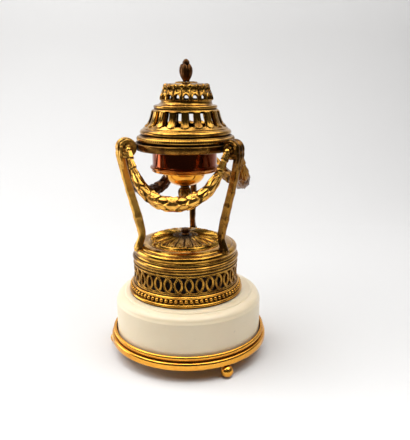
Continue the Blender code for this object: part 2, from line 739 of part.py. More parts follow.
def make_pendant(collection, material):
    top = BOWL_Z - GAP
    points = [
        (0, top),
        (PENDANT_RADIUS * 0.62, top),
        (PENDANT_RADIUS, top - PENDANT_HEIGHT * 0.3),
        (PENDANT_RADIUS * 0.93, top - PENDANT_HEIGHT * 0.55),
        (PENDANT_RADIUS * 0.5, top - PENDANT_HEIGHT * 0.85),
        (0, top - PENDANT_HEIGHT),
    ]
    return turned("bowl_pendant", points, False, collection, material, (GILT_X, 0, 0), BUD_SEGMENTS)


def lid_rows():
    """Outer and inner profiles of the lid from its foot up; rows that bound the piercings carry a name."""
    slot_high = LID_NECK_Z - SLOT_DROP
    slot_low = slot_high - SLOT_HEIGHT
    flare = LID_SKIRT_RADIUS - LID_NECK_RADIUS
    fillet_z = LID_Z + LID_TORUS_HEIGHT
    torus_top = LID_NECK_Z + LID_NECK_HEIGHT
    crown_top = LID_CROWN_Z + LID_CROWN_HEIGHT
    window_top_radius = blend(LID_CROWN_RADIUS, LID_CROWN_TOP_RADIUS, 0.8 * WINDOW_HEIGHT / LID_CROWN_HEIGHT)
    outer = [
        (LID_TORUS_RADIUS - 0.8 * MM, LID_Z, ""),
        (LID_TORUS_RADIUS, LID_Z + LID_TORUS_HEIGHT * 0.4, ""),
        (LID_TORUS_RADIUS - 0.3 * MM, LID_Z + LID_TORUS_HEIGHT * 0.8, ""),
        (LID_TORUS_RADIUS - 2.3 * MM, fillet_z + 0.4 * MM, ""),
        (LID_SKIRT_RADIUS, LID_SKIRT_Z, ""),
        (LID_NECK_RADIUS + 0.71 * flare, blend(LID_SKIRT_Z, slot_low, 0.5), ""),
        (LID_NECK_RADIUS + 0.52 * flare, slot_low, "slot"),
        (LID_NECK_RADIUS + 0.12 * flare, slot_high, "slot_end"),
        (LID_NECK_RADIUS, LID_NECK_Z + 0.2 * LID_NECK_HEIGHT, ""),
        (LID_NECK_RADIUS, LID_NECK_Z + 0.85 * LID_NECK_HEIGHT, ""),
        (LID_CROWN_RADIUS + 0.3 * MM, torus_top, ""),
        (LID_CROWN_RADIUS, LID_CROWN_Z, "window"),
        (window_top_radius, LID_CROWN_Z + WINDOW_HEIGHT, "window_end"),
        (LID_CROWN_TOP_RADIUS, crown_top - 0.4 * MM, ""),
        (LID_CROWN_TOP_RADIUS - 1.6 * MM, crown_top + 0.6 * MM, ""),
        (FINIAL_RADIUS, LID_TOP_Z, ""),
    ]
    inner = [(LID_SKIRT_RADIUS, LID_Z, ""), (LID_SKIRT_RADIUS - LID_WALL, LID_SKIRT_Z - LID_WALL, "")]
    for r, z, mark in outer:
        if mark:
            inner.append((r - LID_WALL, z, mark))
    inner.append((LID_CROWN_TOP_RADIUS - 1.6 * MM - LID_WALL, crown_top - LID_WALL, ""))
    return outer, inner


def make_lid(collection, material):
    bm = bmesh.new()
    outer, inner = lid_rows()
    step = 2 * math.pi / LID_SLOTS
    slot = step * SLOT_SHARE
    angles = []
    for i in range(LID_SLOTS):
        angles += [i * step - slot / 2, i * step + slot / 2]
    crown_twist = math.radians(CROWN_TURN - LID_TURN)

    def rows(profile):
        made = []
        for r, z, mark in profile:
            twist = crown_twist if z > LID_CROWN_Z - GAP else 0
            ring = [bm.verts.new((r * math.cos(a + twist), r * math.sin(a + twist), z)) for a in angles]
            made.append((ring, mark))
        return made

    outer_rows = rows(outer)
    inner_rows = rows(inner)
    count = len(angles)
    for made, inwards in ((outer_rows, False), (inner_rows, True)):
        for (lower, low_mark), (upper, high_mark) in zip(made, made[1:]):
            pierced = low_mark and high_mark == low_mark + "_end"
            for i in range(count):
                if pierced and i % 2 == 0:
                    continue
                j = (i + 1) % count
                face = (lower[i], lower[j], upper[j], upper[i])
                bm.faces.new(face[::-1] if inwards else face)
    for name in ("slot", "window"):
        pairs = []
        for mark in (name, name + "_end"):
            pairs.append([next(ring for ring, m in made if m == mark) for made in (outer_rows, inner_rows)])
        (low_out, low_in), (high_out, high_in) = pairs
        for i in range(0, count, 2):
            j = i + 1
            bm.faces.new((low_out[i], low_out[j], low_in[j], low_in[i]))
            bm.faces.new((high_out[j], high_out[i], high_in[i], high_in[j]))
            bm.faces.new((high_out[i], low_out[i], low_in[i], high_in[i]))
            bm.faces.new((low_out[j], high_out[j], high_in[j], low_in[j]))
    bridge(bm, inner_rows[0][0], outer_rows[0][0])
    cap(bm, outer_rows[-1][0], True)
    cap(bm, inner_rows[-1][0], False)
    bmesh.ops.triangulate(bm, faces=bm.faces)
    data = finish_mesh(bm, "pierced_lid", 35)
    return add_object("pierced_lid", data, collection, material, (GILT_X + LID_OFFSET_X, 0, 0), LID_TURN)


def make_finial(collection, material):
    base = LID_TOP_Z + GAP
    points = [
        (0, base + FINIAL_HEIGHT),
        (FINIAL_RADIUS * 0.42, base + FINIAL_HEIGHT * 0.91),
        (FINIAL_RADIUS * 0.9, base + FINIAL_HEIGHT * 0.66),
        (FINIAL_RADIUS, base + FINIAL_HEIGHT * 0.48),
        (FINIAL_RADIUS * 0.84, base + FINIAL_HEIGHT * 0.22),
        (FINIAL_RADIUS * 0.5, base),
        (0, base),
    ]
    location = (GILT_X + LID_OFFSET_X + FINIAL_OFFSET_X, 0, 0)
    return turned("lid_finial", points, False, collection, material, location, FINIAL_SEGMENTS)


def main():
    clear_scene()
    collection = bpy.data.collections.new("perfume_burner")
    cutters = bpy.data.collections.new("construction")
    bpy.context.scene.collection.children.link(collection)
    bpy.context.scene.collection.children.link(cutters)

    gilt = new_material("gilt_bronze", (0.80, 0.50, 0.15), 0.25, 1.0)
    copper = new_material("copper_red_gilt", (0.72, 0.33, 0.17), 0.15, 1.0)
    dark = new_material("dark_bronze", (0.19, 0.10, 0.05), 0.45, 1.0)
    marble = new_material("white_marble", (0.88, 0.82, 0.70), 0.35, 0.0)

    make_feet(collection, gilt)
    make_base_ring(collection, gilt)
    make_marble(collection, marble)
    make_collar(collection, gilt)
    make_gallery(collection, gilt)
    make_cornice(collection, gilt)
    make_dome(collection, gilt)
    make_boss(collection, dark)
    make_legs(collection, cutters, gilt)
    make_garlands(collection, gilt)
    make_tray(collection, gilt)
    make_burner(collection, copper)
    make_pendant(collection, gilt)
    make_lid(collection, gilt)
    make_finial(collection, dark)


main()
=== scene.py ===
import math

import bmesh
import bpy
import numpy as np
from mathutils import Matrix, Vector


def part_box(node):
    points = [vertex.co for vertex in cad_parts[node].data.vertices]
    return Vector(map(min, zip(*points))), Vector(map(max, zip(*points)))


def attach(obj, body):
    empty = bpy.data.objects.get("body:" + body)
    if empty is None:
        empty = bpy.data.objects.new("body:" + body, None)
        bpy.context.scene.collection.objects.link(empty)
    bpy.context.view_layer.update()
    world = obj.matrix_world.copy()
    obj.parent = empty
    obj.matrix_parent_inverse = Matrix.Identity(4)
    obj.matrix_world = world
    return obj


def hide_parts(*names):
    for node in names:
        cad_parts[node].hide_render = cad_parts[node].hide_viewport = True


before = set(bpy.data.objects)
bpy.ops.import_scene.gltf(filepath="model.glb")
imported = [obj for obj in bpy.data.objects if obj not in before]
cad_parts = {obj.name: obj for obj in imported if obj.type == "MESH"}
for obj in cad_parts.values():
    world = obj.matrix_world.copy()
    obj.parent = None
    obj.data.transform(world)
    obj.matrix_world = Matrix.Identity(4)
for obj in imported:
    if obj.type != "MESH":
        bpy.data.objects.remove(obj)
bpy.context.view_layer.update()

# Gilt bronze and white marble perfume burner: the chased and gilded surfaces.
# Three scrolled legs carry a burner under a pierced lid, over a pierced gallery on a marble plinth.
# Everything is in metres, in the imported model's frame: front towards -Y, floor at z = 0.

MM = 0.001
GAP = 0.3 * MM

# Axes of the turned work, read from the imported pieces
BASE_X = sum(corner.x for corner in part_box("base_ring")) / 2
GILT_X = sum(corner.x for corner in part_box("beaded_collar")) / 2
LID_X = sum(corner.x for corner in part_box("pierced_lid")) / 2
FINIAL_X = sum(corner.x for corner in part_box("lid_finial")) / 2

# Legs and garlands: azimuths in degrees from the front, towards +X
LEG_FIRST_AZIMUTH = -68.0
LEG_PLACES = ("left", "right", "back")
GARLAND_PLACES = ("front", "right", "left")
VOLUTE_RADIUS = 5.9 * MM
VOLUTE_WIDTH = 7.6 * MM
VOLUTE_Z = 138.0 * MM
TRAY_RADIUS = 31.6 * MM
VOLUTE_CENTRE = TRAY_RADIUS + GAP + VOLUTE_RADIUS
LEG_DEPTH = 4.8 * MM
LEG_WIDTH = 5.0 * MM
LEG_KNOTS = (0.20, 0.34, 0.47, 0.60, 0.73)
COVER_RIM = 34.4 * MM
PETAL_END = 23.4 * MM
GARLAND_REACH = {"front": 38.5 * MM, "right": 38.0 * MM, "left": 30.5 * MM}
GARLAND_DROP = {"front": 30.0 * MM, "right": 26.5 * MM, "left": 34.0 * MM}
GARLAND_THICKNESS = 8.0 * MM
STALK_THICKNESS = 3.4 * MM
FOLIAGE_START = 0.76
LEAF_TIERS = 5
LEAVES_AROUND = 5
LEAF_LENGTH = 0.25
LEAF_WIDTH = 5.5 * MM
LEAF_LIFT = 1.25 * MM
KNOB_RADIUS = 1.95 * MM

# Repeats
BEADS = 72
GALLERY_CIRCLES = 32
PETALS = 24
LID_UNITS = 18
LID_TURN = 11.0
CROWN_TURN = 1.0
CROWN_SHIFT = 0.7 * MM


def joined(*parts):
    """Points from their coordinates."""
    return np.stack(parts, axis=-1)


def full_turn(count):
    """Angles evenly spread over a full turn."""
    return np.linspace(0, 2 * np.pi, count, endpoint=False)


def quads_of(grid):
    """Faces between neighbouring points of a grid of point numbers."""
    corners = [grid[:-1, :-1], grid[:-1, 1:], grid[1:, 1:], grid[1:, :-1]]
    return np.stack(corners, axis=-1).reshape(-1, 4).tolist()


class Form:
    """Gathers the skins of a piece before they become one mesh; coat is the number of a skin's material."""

    def __init__(self):
        self.points = []
        self.faces = []
        self.coats = []
        self.count = 0

    def add(self, points, faces, coat=0):
        self.points.append(np.asarray(points, float).reshape(-1, 3))
        self.faces.extend((np.asarray(face) + self.count).tolist() for face in faces)
        self.coats.extend([coat] * len(faces))
        self.count += len(self.points[-1])

    def skin(self, rows, around=True, ring=False, caps=True, coat=0):
        """A skin over rows of points. around joins each row's ends, ring joins the last row to the first."""
        rows = np.asarray(rows, float)
        n, m = rows.shape[:2]
        index = np.arange(n * m).reshape(n, m)
        if ring:
            index = np.vstack([index, index[:1]])
        if around:
            index = np.hstack([index, index[:, :1]])
        faces = quads_of(index)
        points = rows.reshape(-1, 3)
        if caps and around and not ring:
            points = np.vstack([points, rows[0].mean(axis=0), rows[-1].mean(axis=0)])
            for row, centre, turn in ((index[0], n * m, 1), (index[-1], n * m + 1, -1)):
                edge = joined(row[1:], row[:-1])[:, ::turn]
                faces += np.column_stack([edge, np.full(m, centre)]).tolist()
        self.add(points, faces, coat)
        return self

    def ring(self, profile, rounding, columns, carve=None):
        """A turned ring from a closed profile whose corners are rounded by so many millimetres."""
        return self.skin(turned_rows(eased(profile, rounding * MM, True), columns, carve), ring=True)

    def mesh(self, name, sharp):
        data = bpy.data.meshes.new(name)
        data.from_pydata(np.vstack(self.points).tolist(), [], self.faces)
        data.polygons.foreach_set("material_index", self.coats)
        bm = bmesh.new()
        bm.from_mesh(data)
        bmesh.ops.remove_doubles(bm, verts=bm.verts, dist=0.002 * MM)
        bmesh.ops.recalc_face_normals(bm, faces=bm.faces)
        bm.to_mesh(data)
        bm.free()
        data.shade_smooth()
        data.set_sharp_from_angle(angle=math.radians(sharp))
        return data


def blend(a, b, t):
    """a where t is 0, b where it is 1."""
    return a + (b - a) * t


def step_between(low, high, value):
    """0 below low, 1 above high, and a smooth rise between."""
    t = np.clip((value - low) / (high - low), 0, 1)
    return t * t * (3 - 2 * t)


def hump(value, centre, width):
    """A soft ridge of height 1 at centre."""
    return np.exp(-((value - centre) / width) ** 2)


def arc(centre_r, centre_z, radius, start, end, steps, flat=1.0):
    """Points of an arc in a profile; 0 degrees is outwards and 90 up. flat squeezes it in radius."""
    angles = np.radians(np.linspace(start, end, steps + 1))
    return [(centre_r + flat * radius * math.cos(a), centre_z + radius * math.sin(a)) for a in angles]


def offsets(radius, base, steps):
    """Points of a profile, given in millimetres out from a radius and up from a height."""
    return [(radius + out * MM, base + up * MM) for out, up in steps]


def eased(points, radius, closed=False, steps=3):
    """A profile with its corners rounded off."""
    points = [np.array(p, float) for p in points]
    count = len(points)
    made = []
    for i, corner in enumerate(points):
        if not closed and i in (0, count - 1):
            made.append(corner)
            continue
        before = points[i - 1] - corner
        after = points[(i + 1) % count] - corner
        reach = min(radius, 0.45 * np.linalg.norm(before), 0.45 * np.linalg.norm(after))
        start = corner + before / np.linalg.norm(before) * reach
        end = corner + after / np.linalg.norm(after) * reach
        for k in range(steps + 1):
            t = k / steps
            made.append((1 - t) ** 2 * start + 2 * t * (1 - t) * corner + t * t * end)
    return [tuple(p) for p in made]


def flowing(points, count):
    """A smooth line through chosen points, with all their columns, evenly spread by length."""
    points = np.array(points, float)
    padded = np.vstack([2 * points[0] - points[1], points, 2 * points[-1] - points[-2]])
    made = []
    for i in range(1, len(padded) - 2):
        a, b, c, d = padded[i - 1:i + 3]
        for t in np.linspace(0, 1, 24, endpoint=False):
            made.append(0.5 * (2 * b + (c - a) * t + (2 * a - 5 * b + 4 * c - d) * t ** 2
                               + (3 * b - a - 3 * c + d) * t ** 3))
    made.append(points[-1])
    made = np.array(made)
    lengths = np.append(0, np.cumsum(np.linalg.norm(np.diff(made, axis=0), axis=1)))
    wanted = np.linspace(0, lengths[-1], count)
    return np.column_stack([np.interp(wanted, lengths, made[:, k]) for k in range(made.shape[1])])


def turned_rows(profile, columns, carve=None):
    """Rows of a turned skin. carve(r, z, angle) returns the carved r and z."""
    profile = np.array(profile, float)
    angle = full_turn(columns)[None, :]
    r = profile[:, :1] + 0 * angle
    z = profile[:, 1:] + 0 * angle
    if carve:
        r, z = carve(r, z, angle + 0 * r)
    return joined(r * np.cos(angle), r * np.sin(angle), z)


def swept(centres, outs, sides, sections):
    """Sections (side, out) carried along a line of centres."""
    centres, outs, sides, sections = (np.asarray(v, float) for v in (centres, outs, sides, sections))
    across = sections[..., :1] * sides[:, None, :]
    return centres[:, None, :] + across + sections[..., 1:] * outs[:, None, :]


def ball_rows(centre, radius, columns=20, rows=12):
    """Rows of a ball's skin, from the top down."""
    polar = np.linspace(0.04, math.pi - 0.04, rows)[:, None]
    angle = full_turn(columns)[None, :]
    level = np.sin(polar)
    unit = joined(level * np.cos(angle), level * np.sin(angle), np.cos(polar) + 0 * angle)
    return np.asarray(centre) + radius * unit


def unit_rows(vectors):
    """Each row scaled to length 1."""
    vectors = np.asarray(vectors, float)
    return vectors / np.linalg.norm(vectors, axis=-1, keepdims=True)


def finished(node, form, materials, place=(GILT_X, 0, 0), azimuth=None, sharp=50):
    """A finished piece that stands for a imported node. With an azimuth it is modelled along +X."""
    data = form if isinstance(form, bpy.types.Mesh) else form.mesh("finished_" + node, sharp)
    item = bpy.data.objects.new("finished_" + node, data)
    bpy.context.scene.collection.objects.link(item)
    item.location = place
    if azimuth is not None:
        item.rotation_euler.z = math.radians(azimuth - 90)
    if not data.materials:
        for material in materials if isinstance(materials, tuple) else (materials,):
            data.materials.append(material)
    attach(item, "root")
    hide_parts(node)
    return item


# Plinth: ball feet, base ring and marble

def make_ball_feet(gilding):
    """Three balls, flat where they stand on the floor."""
    for place in ("right", "left", "back"):
        node = "ball_foot_" + place
        low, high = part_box(node)
        centre = ((low.x + high.x) / 2, (low.y + high.y) / 2)
        radius = (high.x - low.x) / 2
        rows = ball_rows((0, 0, high.z - radius), radius, 48, 28)
        rows[..., 2] = np.maximum(rows[..., 2], 0)
        finished(node, Form().skin(rows), gilding, place=(*centre, 0))


def make_base_ring(gilding):
    """A broad smooth band, a dark quirk and a finely roped torus against the marble."""
    low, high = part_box("base_ring")
    radius = (high.y - low.y) / 2
    marble_low, marble_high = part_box("marble_plinth")
    marble = (marble_high.y - marble_low.y) / 2
    band_top = low.z + 5.0 * MM
    seat = marble_low.z - GAP
    inner = radius - 9.5 * MM
    quirk = marble + 1.5 * MM
    body = [
        (inner, low.z),
        *offsets(radius, low.z, [(-0.9, 0), (-0.2, 0.6), (0, 1.4), (-0.1, 3.8), (-0.6, 4.7)]),
        (radius - 1.3 * MM, band_top),
        *offsets(quirk, band_top, [(0.2, -0.1), (0, 0.2), (0, 0.8)]),
        (marble + GAP, band_top + 0.9 * MM), (marble + GAP, seat), (inner, seat),
    ]
    form = Form().ring(body, 0.5, 256)
    rope = 210
    torus = 1.5 * MM
    torus_z = high.z - torus
    middle = marble + GAP + 0.1 * MM + torus * 0.8

    def twist(r, z, angle):
        lean = np.arctan2(z - torus_z, r - middle)
        return r + 0.12 * MM * np.cos(rope * angle + 1.6 * lean), z

    form.skin(turned_rows(arc(middle, torus_z, torus, -180, 162, 18, 0.80), rope * 5, twist), ring=True)
    finished("base_ring", form, gilding, place=(BASE_X, 0, 0))


def make_marble(marble):
    """A straight side, a soft step, a rounded shoulder and a low rim round the flat top."""
    low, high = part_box("marble_plinth")
    radius = (high.y - low.y) / 2
    top, base = high.z, low.z
    side = base + 23.3 * MM
    inner = radius - 5.6 * MM
    profile = [(0.1 * MM, base), *offsets(radius, base, [(-0.4, 0), (0, 0.4)])]
    profile += [(radius, base + k * (side - base - 0.6 * MM) / 8) for k in range(1, 9)]
    step = [(0, -0.5), (-0.25, 0), (-0.5, 0.4), (-0.65, 0.7)]
    profile += eased(offsets(radius, side, step), 0.8 * MM, steps=4)
    rim = [(0.1, -0.8), (-0.1, -0.7), (-0.35, -0.1), (-0.8, 0), (-2.5, 0)]
    rise = top - 0.8 * MM - side - 0.7 * MM
    run = radius - 0.70 * MM - inner
    shoulder = np.linspace(0.05, 1.5, 12)
    profile += [(inner + run * math.cos(a), side + 0.6 * MM + rise * math.sin(a)) for a in shoulder]
    profile += eased(offsets(inner, top, rim), 0.3 * MM)
    profile += [(r * MM, top) for r in (36, 30, 20, 10, 0.1)]
    form = Form().skin(turned_rows(profile, 192))
    finished("marble_plinth", form, marble, (BASE_X, 0, 0), sharp=70)


# Gallery between the marble and the cover

def make_collar(gilding):
    """A half-round plate, a row of round beads in a hollow, and a fillet."""
    low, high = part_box("beaded_collar")
    radius = 37.9 * MM
    inner = 33.4 * MM
    plate = 2.5 * MM
    bead = 1.28 * MM
    bead_z = low.z + plate + 0.3 * MM + 1.3 * MM
    bead_circle = 36.0 * MM
    body = [
        (inner, low.z), (radius - 0.5 * MM, low.z),
        *arc(radius - 1.15 * MM, low.z + plate / 2, 1.15 * MM, -60, 60, 8),
        (radius - 1.5 * MM, low.z + plate),
        *offsets(bead_circle, bead_z, [(-0.5, -0.9), (-0.7, 0), (-0.5, 0.9), (-0.15, 1.3)]),
        *offsets(bead_circle, high.z, [(-0.1, -0.45), (-0.6, 0)]), (inner, high.z),
    ]
    form = Form().ring(body, 0.22, 216)
    for i in range(BEADS):
        angle = 2 * math.pi * (i + 0.5) / BEADS
        centre = (bead_circle * math.cos(angle), bead_circle * math.sin(angle), bead_z)
        form.skin(ball_rows(centre, bead, 18, 11))
    finished("beaded_collar", form, gilding)


def make_gallery(gilding):
    """Interlaced circles of grooved strap between two rails, each over one neighbour and under the other."""
    low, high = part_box("pierced_gallery")
    radius = 34.7 * MM
    wall = 1.3 * MM
    middle = (low.z + high.z) / 2
    circle = 5.72 * MM
    strap = 1.5 * MM
    rail = 0.8 * MM
    steps = 56
    form = Form()
    around = full_turn(steps)
    section = np.array([(-0.50, -0.5), (-0.50, 0.25), (-0.40, 0.46), (-0.24, 0.50), (0.0, 0.30),
                        (0.24, 0.50), (0.40, 0.46), (0.50, 0.25), (0.50, -0.5)])
    for i in range(GALLERY_CIRCLES):
        turn = 2 * math.pi * i / GALLERY_CIRCLES
        reach = circle + section[None, :, 0] * strap
        along = reach * np.cos(around)[:, None]
        up = reach * np.sin(around)[:, None]
        weave = 0.17 * MM * np.sin(2 * around)[:, None]
        depth = radius - wall / 2 - 0.2 * MM + section[None, :, 1] * (wall - 0.4 * MM) + weave
        angle = turn + along / radius
        form.skin(joined(depth * np.cos(angle), depth * np.sin(angle), middle + up), ring=True)
    for rail_z in (low.z + rail / 2, high.z - rail / 2):
        bar = [(radius - wall, rail_z - rail / 2), (radius, rail_z - rail / 2),
               (radius, rail_z + rail / 2), (radius - wall, rail_z + rail / 2)]
        form.ring(bar, 0.2, 192)
    finished("pierced_gallery", form, gilding, sharp=40)


def make_cornice(gilding):
    """A milled lower band under a plain half-round."""
    low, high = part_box("gallery_cornice")
    radius = 35.1 * MM
    inner = radius - 2.6 * MM
    mills = 150
    upper = [
        (inner, low.z + 1.9 * MM), (radius - 0.9 * MM, low.z + 2.0 * MM),
        *arc(radius - 1.3 * MM, low.z + 3.45 * MM, 1.3 * MM, -70, 62, 8),
        (radius - 1.2 * MM, high.z), (inner, high.z),
    ]
    form = Form().ring(upper, 0.15, 200)

    def milled(r, z, angle):
        shown = step_between(radius - 1.9 * MM, radius - 1.2 * MM, r)
        return r + 0.11 * MM * shown * np.cos(mills * angle), z

    lower = [
        (inner, low.z), *offsets(radius, low.z, [(-1.2, 0), (-0.7, 0.5), (-0.6, 1.5), (-1.1, 2.0)]),
        (inner, low.z + 2.0 * MM),
    ]
    form.ring(lower, 0.3, mills * 5, milled)
    finished("gallery_cornice", form, gilding)


# Domed cover

def cover_line():
    """(radius, height) over the cover's mouldings, from the rim in to the field of petals."""
    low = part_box("domed_cover")[0].z
    rim = [(-0.9, 0), (-0.7, 0.2), (-0.7, 0.9), (-0.9, 1.2)]
    torus_r = COVER_RIM - 2.6 * MM
    ovolo = [
        (30.95, 6.1), (30.6, 6.5), (30.1, 6.85), (29.4, 7.15), (28.5, 7.38), (27.5, 7.5), (26.5, 7.55),
        (25.6, 7.5), (24.9, 7.4), (24.4, 7.42), (24.15, 7.65),
    ]
    return [
        *offsets(COVER_RIM, low, rim), (torus_r + 1.4 * MM, low + 1.6 * MM),
        *arc(torus_r, low + 3.55 * MM, 2.3 * MM, -48, 96, 18), (torus_r - 0.7 * MM, low + 5.8 * MM),
        *offsets(0, low, ovolo),
        *offsets(PETAL_END, petal_base(), [(0.5, -0.5), (0.1, -0.1), (-0.1, -0.8)]),
    ]


def petal_base():
    """Height of the petals' round ends."""
    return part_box("domed_cover")[0].z + 9.15 * MM


def make_dome(gilding):
    """A torus and an ovolo round a field of petals, each with a raised edge and a tongue down its middle."""
    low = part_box("domed_cover")[0].z
    wall = 1.5 * MM
    hollow = 27.4 * MM
    rise = 2.25 * MM
    disc = 8.2 * MM
    base = petal_base()
    disc_z = base + rise
    length = PETAL_END - disc
    inside = [(PETAL_END - wall, base - wall), (PETAL_END, base - 2 * wall)]
    inside += [(hollow, base - 2 * wall), (hollow, low)]
    form = Form().skin(turned_rows(cover_line() + inside, 216), ring=True)
    radii = np.linspace(PETAL_END + 0.3 * MM, disc, 62)
    climb = [rise * math.sin(max(PETAL_END - r, 0) / length * math.pi / 2) for r in radii]
    field = [(r, base - 0.30 * MM + up) for r, up in zip(radii, climb)]
    middle = offsets(disc, disc_z, [(-0.3, -0.5), (-0.7, -0.7), (-1.2, -0.6), (-2.6, -0.35), (-3.8, -0.3),
                                    (-4.3, -0.45), (-8.1, -0.45)])
    under = [(0.1 * MM, disc_z - 1.9 * MM), (disc, disc_z - 1.9 * MM), (PETAL_END + 0.3 * MM, base - wall)]

    def petals(r, z, angle):
        on = step_between(disc - 0.1 * MM, disc + 0.5 * MM, r) * (r < PETAL_END) * (z > base - 0.8 * MM)
        share = np.clip((r - disc) / length, 0, 1)
        across = np.abs((angle * PETALS / (2 * np.pi)) % 1 - 0.5) * 2
        end = np.clip((share - 0.86) / 0.13, 0, 2)
        near = np.hypot(across / 0.95, end)
        within = 1 - step_between(0.92, 1.06, near)
        rim = 0.48 * MM * hump(near, 0.86, 0.12)
        sunk = 0.36 * MM * (1 - step_between(0.5, 0.8, near))
        rib = 0.27 * MM * hump(across, 0, 0.16) * (1 - step_between(0.62, 0.80, share))
        relief = rim * within - sunk + rib - 0.35 * MM * (1 - within) + 0.2 * MM
        flat = step_between(3.9 * MM, 5.0 * MM, r) * (r < disc - 1.1 * MM) * (z > base)
        return r, z + on * relief + 0.08 * MM * np.cos(48 * angle) * flat

    form.skin(turned_rows([*field, *eased(middle, 0.3 * MM), *under], PETALS * 22, petals), ring=True)
    finished("domed_cover", form, gilding)


def make_boss(bronze):
    """A small lobed knob."""
    low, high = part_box("cover_boss")
    radius = (high.y - low.y) / 2
    tall = high.z - low.z

    def shell(shape):
        return [(r * radius, low.z + t * tall) for r, t in shape]

    profile = [
        (0.05 * MM, low.z), *shell([(0.92, 0), (1, 0.10), (0.86, 0.2), (0.72, 0.28)]),
        *arc(0.3 * radius, low.z + 0.60 * tall, radius * 0.66, -50, 60, 8),
        *shell([(0.42, 0.95), (0.2, 1)]), (0.05 * MM, high.z),
    ]

    def lobes(r, z, angle):
        shown = step_between(low.z + 0.25 * tall, low.z + 0.4 * tall, z)
        return r * (1 + 0.07 * shown * np.cos(8 * angle)), z

    form = Form().skin(turned_rows(eased(profile, 0.2 * MM), 64, lobes))
    finished("cover_boss", form, bronze)


# Scrolled legs

def leg_line():
    """(radius, height, depth, width) up a leg's middle line, from the sole to the scroll."""
    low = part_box("scroll_leg_left")[0].z
    ankle_r, ankle_z = 29.5 * MM, low + 10.6 * MM
    foot_r = 31.9 * MM
    outer = VOLUTE_CENTRE + VOLUTE_RADIUS - LEG_DEPTH * 0.4
    rise = VOLUTE_Z - ankle_z
    line = [(foot_r + 0.1 * MM, low, 1.15, 1.30), (foot_r - 0.1 * MM, low + 2.0 * MM, 1.12, 1.22),
            (foot_r - 0.9 * MM, low + 5.2 * MM, 0.96, 0.98), (ankle_r, ankle_z, 0.95, 0.93)]
    for t in (0.17, 0.34, 0.5, 0.64, 0.76, 0.88, 1.0):
        bow = math.sin(t * math.pi / 2) ** 1.6
        radius = ankle_r + (outer - ankle_r) * blend(t, bow, 0.45)
        calf = 0.08 * hump(t, 0.22, 0.12)
        wide = blend(1.0, 1.25, max(0.0, (t - 0.62) / 0.38)) + calf
        line.append((radius, ankle_z + rise * t, blend(1.06, 0.92, t) + calf, wide))
    return [(r, z, d * LEG_DEPTH, w * LEG_WIDTH) for r, z, d, w in line]


def leg_stem(form):
    """A bar with a ridged front, channelled sides and worn knots like those of a lopped branch."""
    line = flowing(leg_line(), 170)
    along = unit_rows(np.gradient(line[:, :2], axis=0))
    outs = np.column_stack([along[:, 1], 0 * along[:, 0], -along[:, 0]])
    sides = np.tile([0.0, 1.0, 0.0], (len(line), 1))
    centres = np.column_stack([line[:, 0], 0 * line[:, 0], line[:, 1]])
    angle = full_turn(32)
    height = ((line[:, 1] - line[0, 1]) / (line[-1, 1] - line[0, 1]))[:, None]
    side = np.sign(np.sin(angle)) * np.abs(np.sin(angle)) ** 0.85 / 2
    out = np.sign(np.cos(angle)) * np.abs(np.cos(angle)) ** 0.85 / 2
    swell = 1 + 0 * angle[None, :] * height
    for k, place in enumerate(LEG_KNOTS):
        turn = 0.9 if k % 2 else -0.9
        facing = 0.55 + 0.45 * np.cos(angle - turn)[None, :]
        knot = 0.09 * hump(height, place, 0.024) * facing
        swell = swell + knot - 0.015 * hump(height, place + 0.036, 0.018)
    channel = 1 - 0.20 * hump(np.abs(np.sin(angle)), 1.0, 0.16)
    ridge = 1 + 0.10 * hump(np.sin(angle), 0, 0.20)
    sections = joined(line[:, 3:4] * side * channel * swell, line[:, 2:3] * out * ridge * swell)
    form.skin(swept(centres, outs, sides, sections))


def leg_scroll(form):
    """The volute: a drum of ribs with a sunk spiral and an eye on either face."""
    half = VOLUTE_WIDTH / 2
    radii = np.linspace(0.02, 1.0, 26)
    angle = full_turn(72)
    rho = radii[:, None] + 0 * angle
    wind = (rho * 1.75 - angle / (2 * np.pi)) % 1
    groove = hump(wind, 0.5, 0.2) * step_between(0.28, 0.4, rho) * (1 - step_between(0.9, 0.98, rho))
    eye = 0.9 * MM * (1 - step_between(0.18, 0.30, rho))
    face = half - 0.35 * MM - 0.85 * MM * groove + eye * 0.7
    face = face - 0.4 * MM * step_between(0.93, 1.0, rho)
    faces = []
    for turn in (1, -1):
        x = rho * VOLUTE_RADIUS * np.cos(angle)
        z = rho * VOLUTE_RADIUS * np.sin(angle)
        faces.append(joined(VOLUTE_CENTRE + x, turn * face, VOLUTE_Z + z))
    across = np.linspace(-half + 0.75 * MM, half - 0.75 * MM, 15)[:, None]
    ribs = 0.16 * MM * np.cos(across / half * math.pi * 3)
    rim_r = VOLUTE_RADIUS + ribs
    rim_x = VOLUTE_CENTRE + rim_r * np.cos(angle)
    rim = joined(rim_x, across + 0 * angle, VOLUTE_Z + rim_r * np.sin(angle))
    form.skin(np.concatenate([faces[1], rim, faces[0][::-1]]))


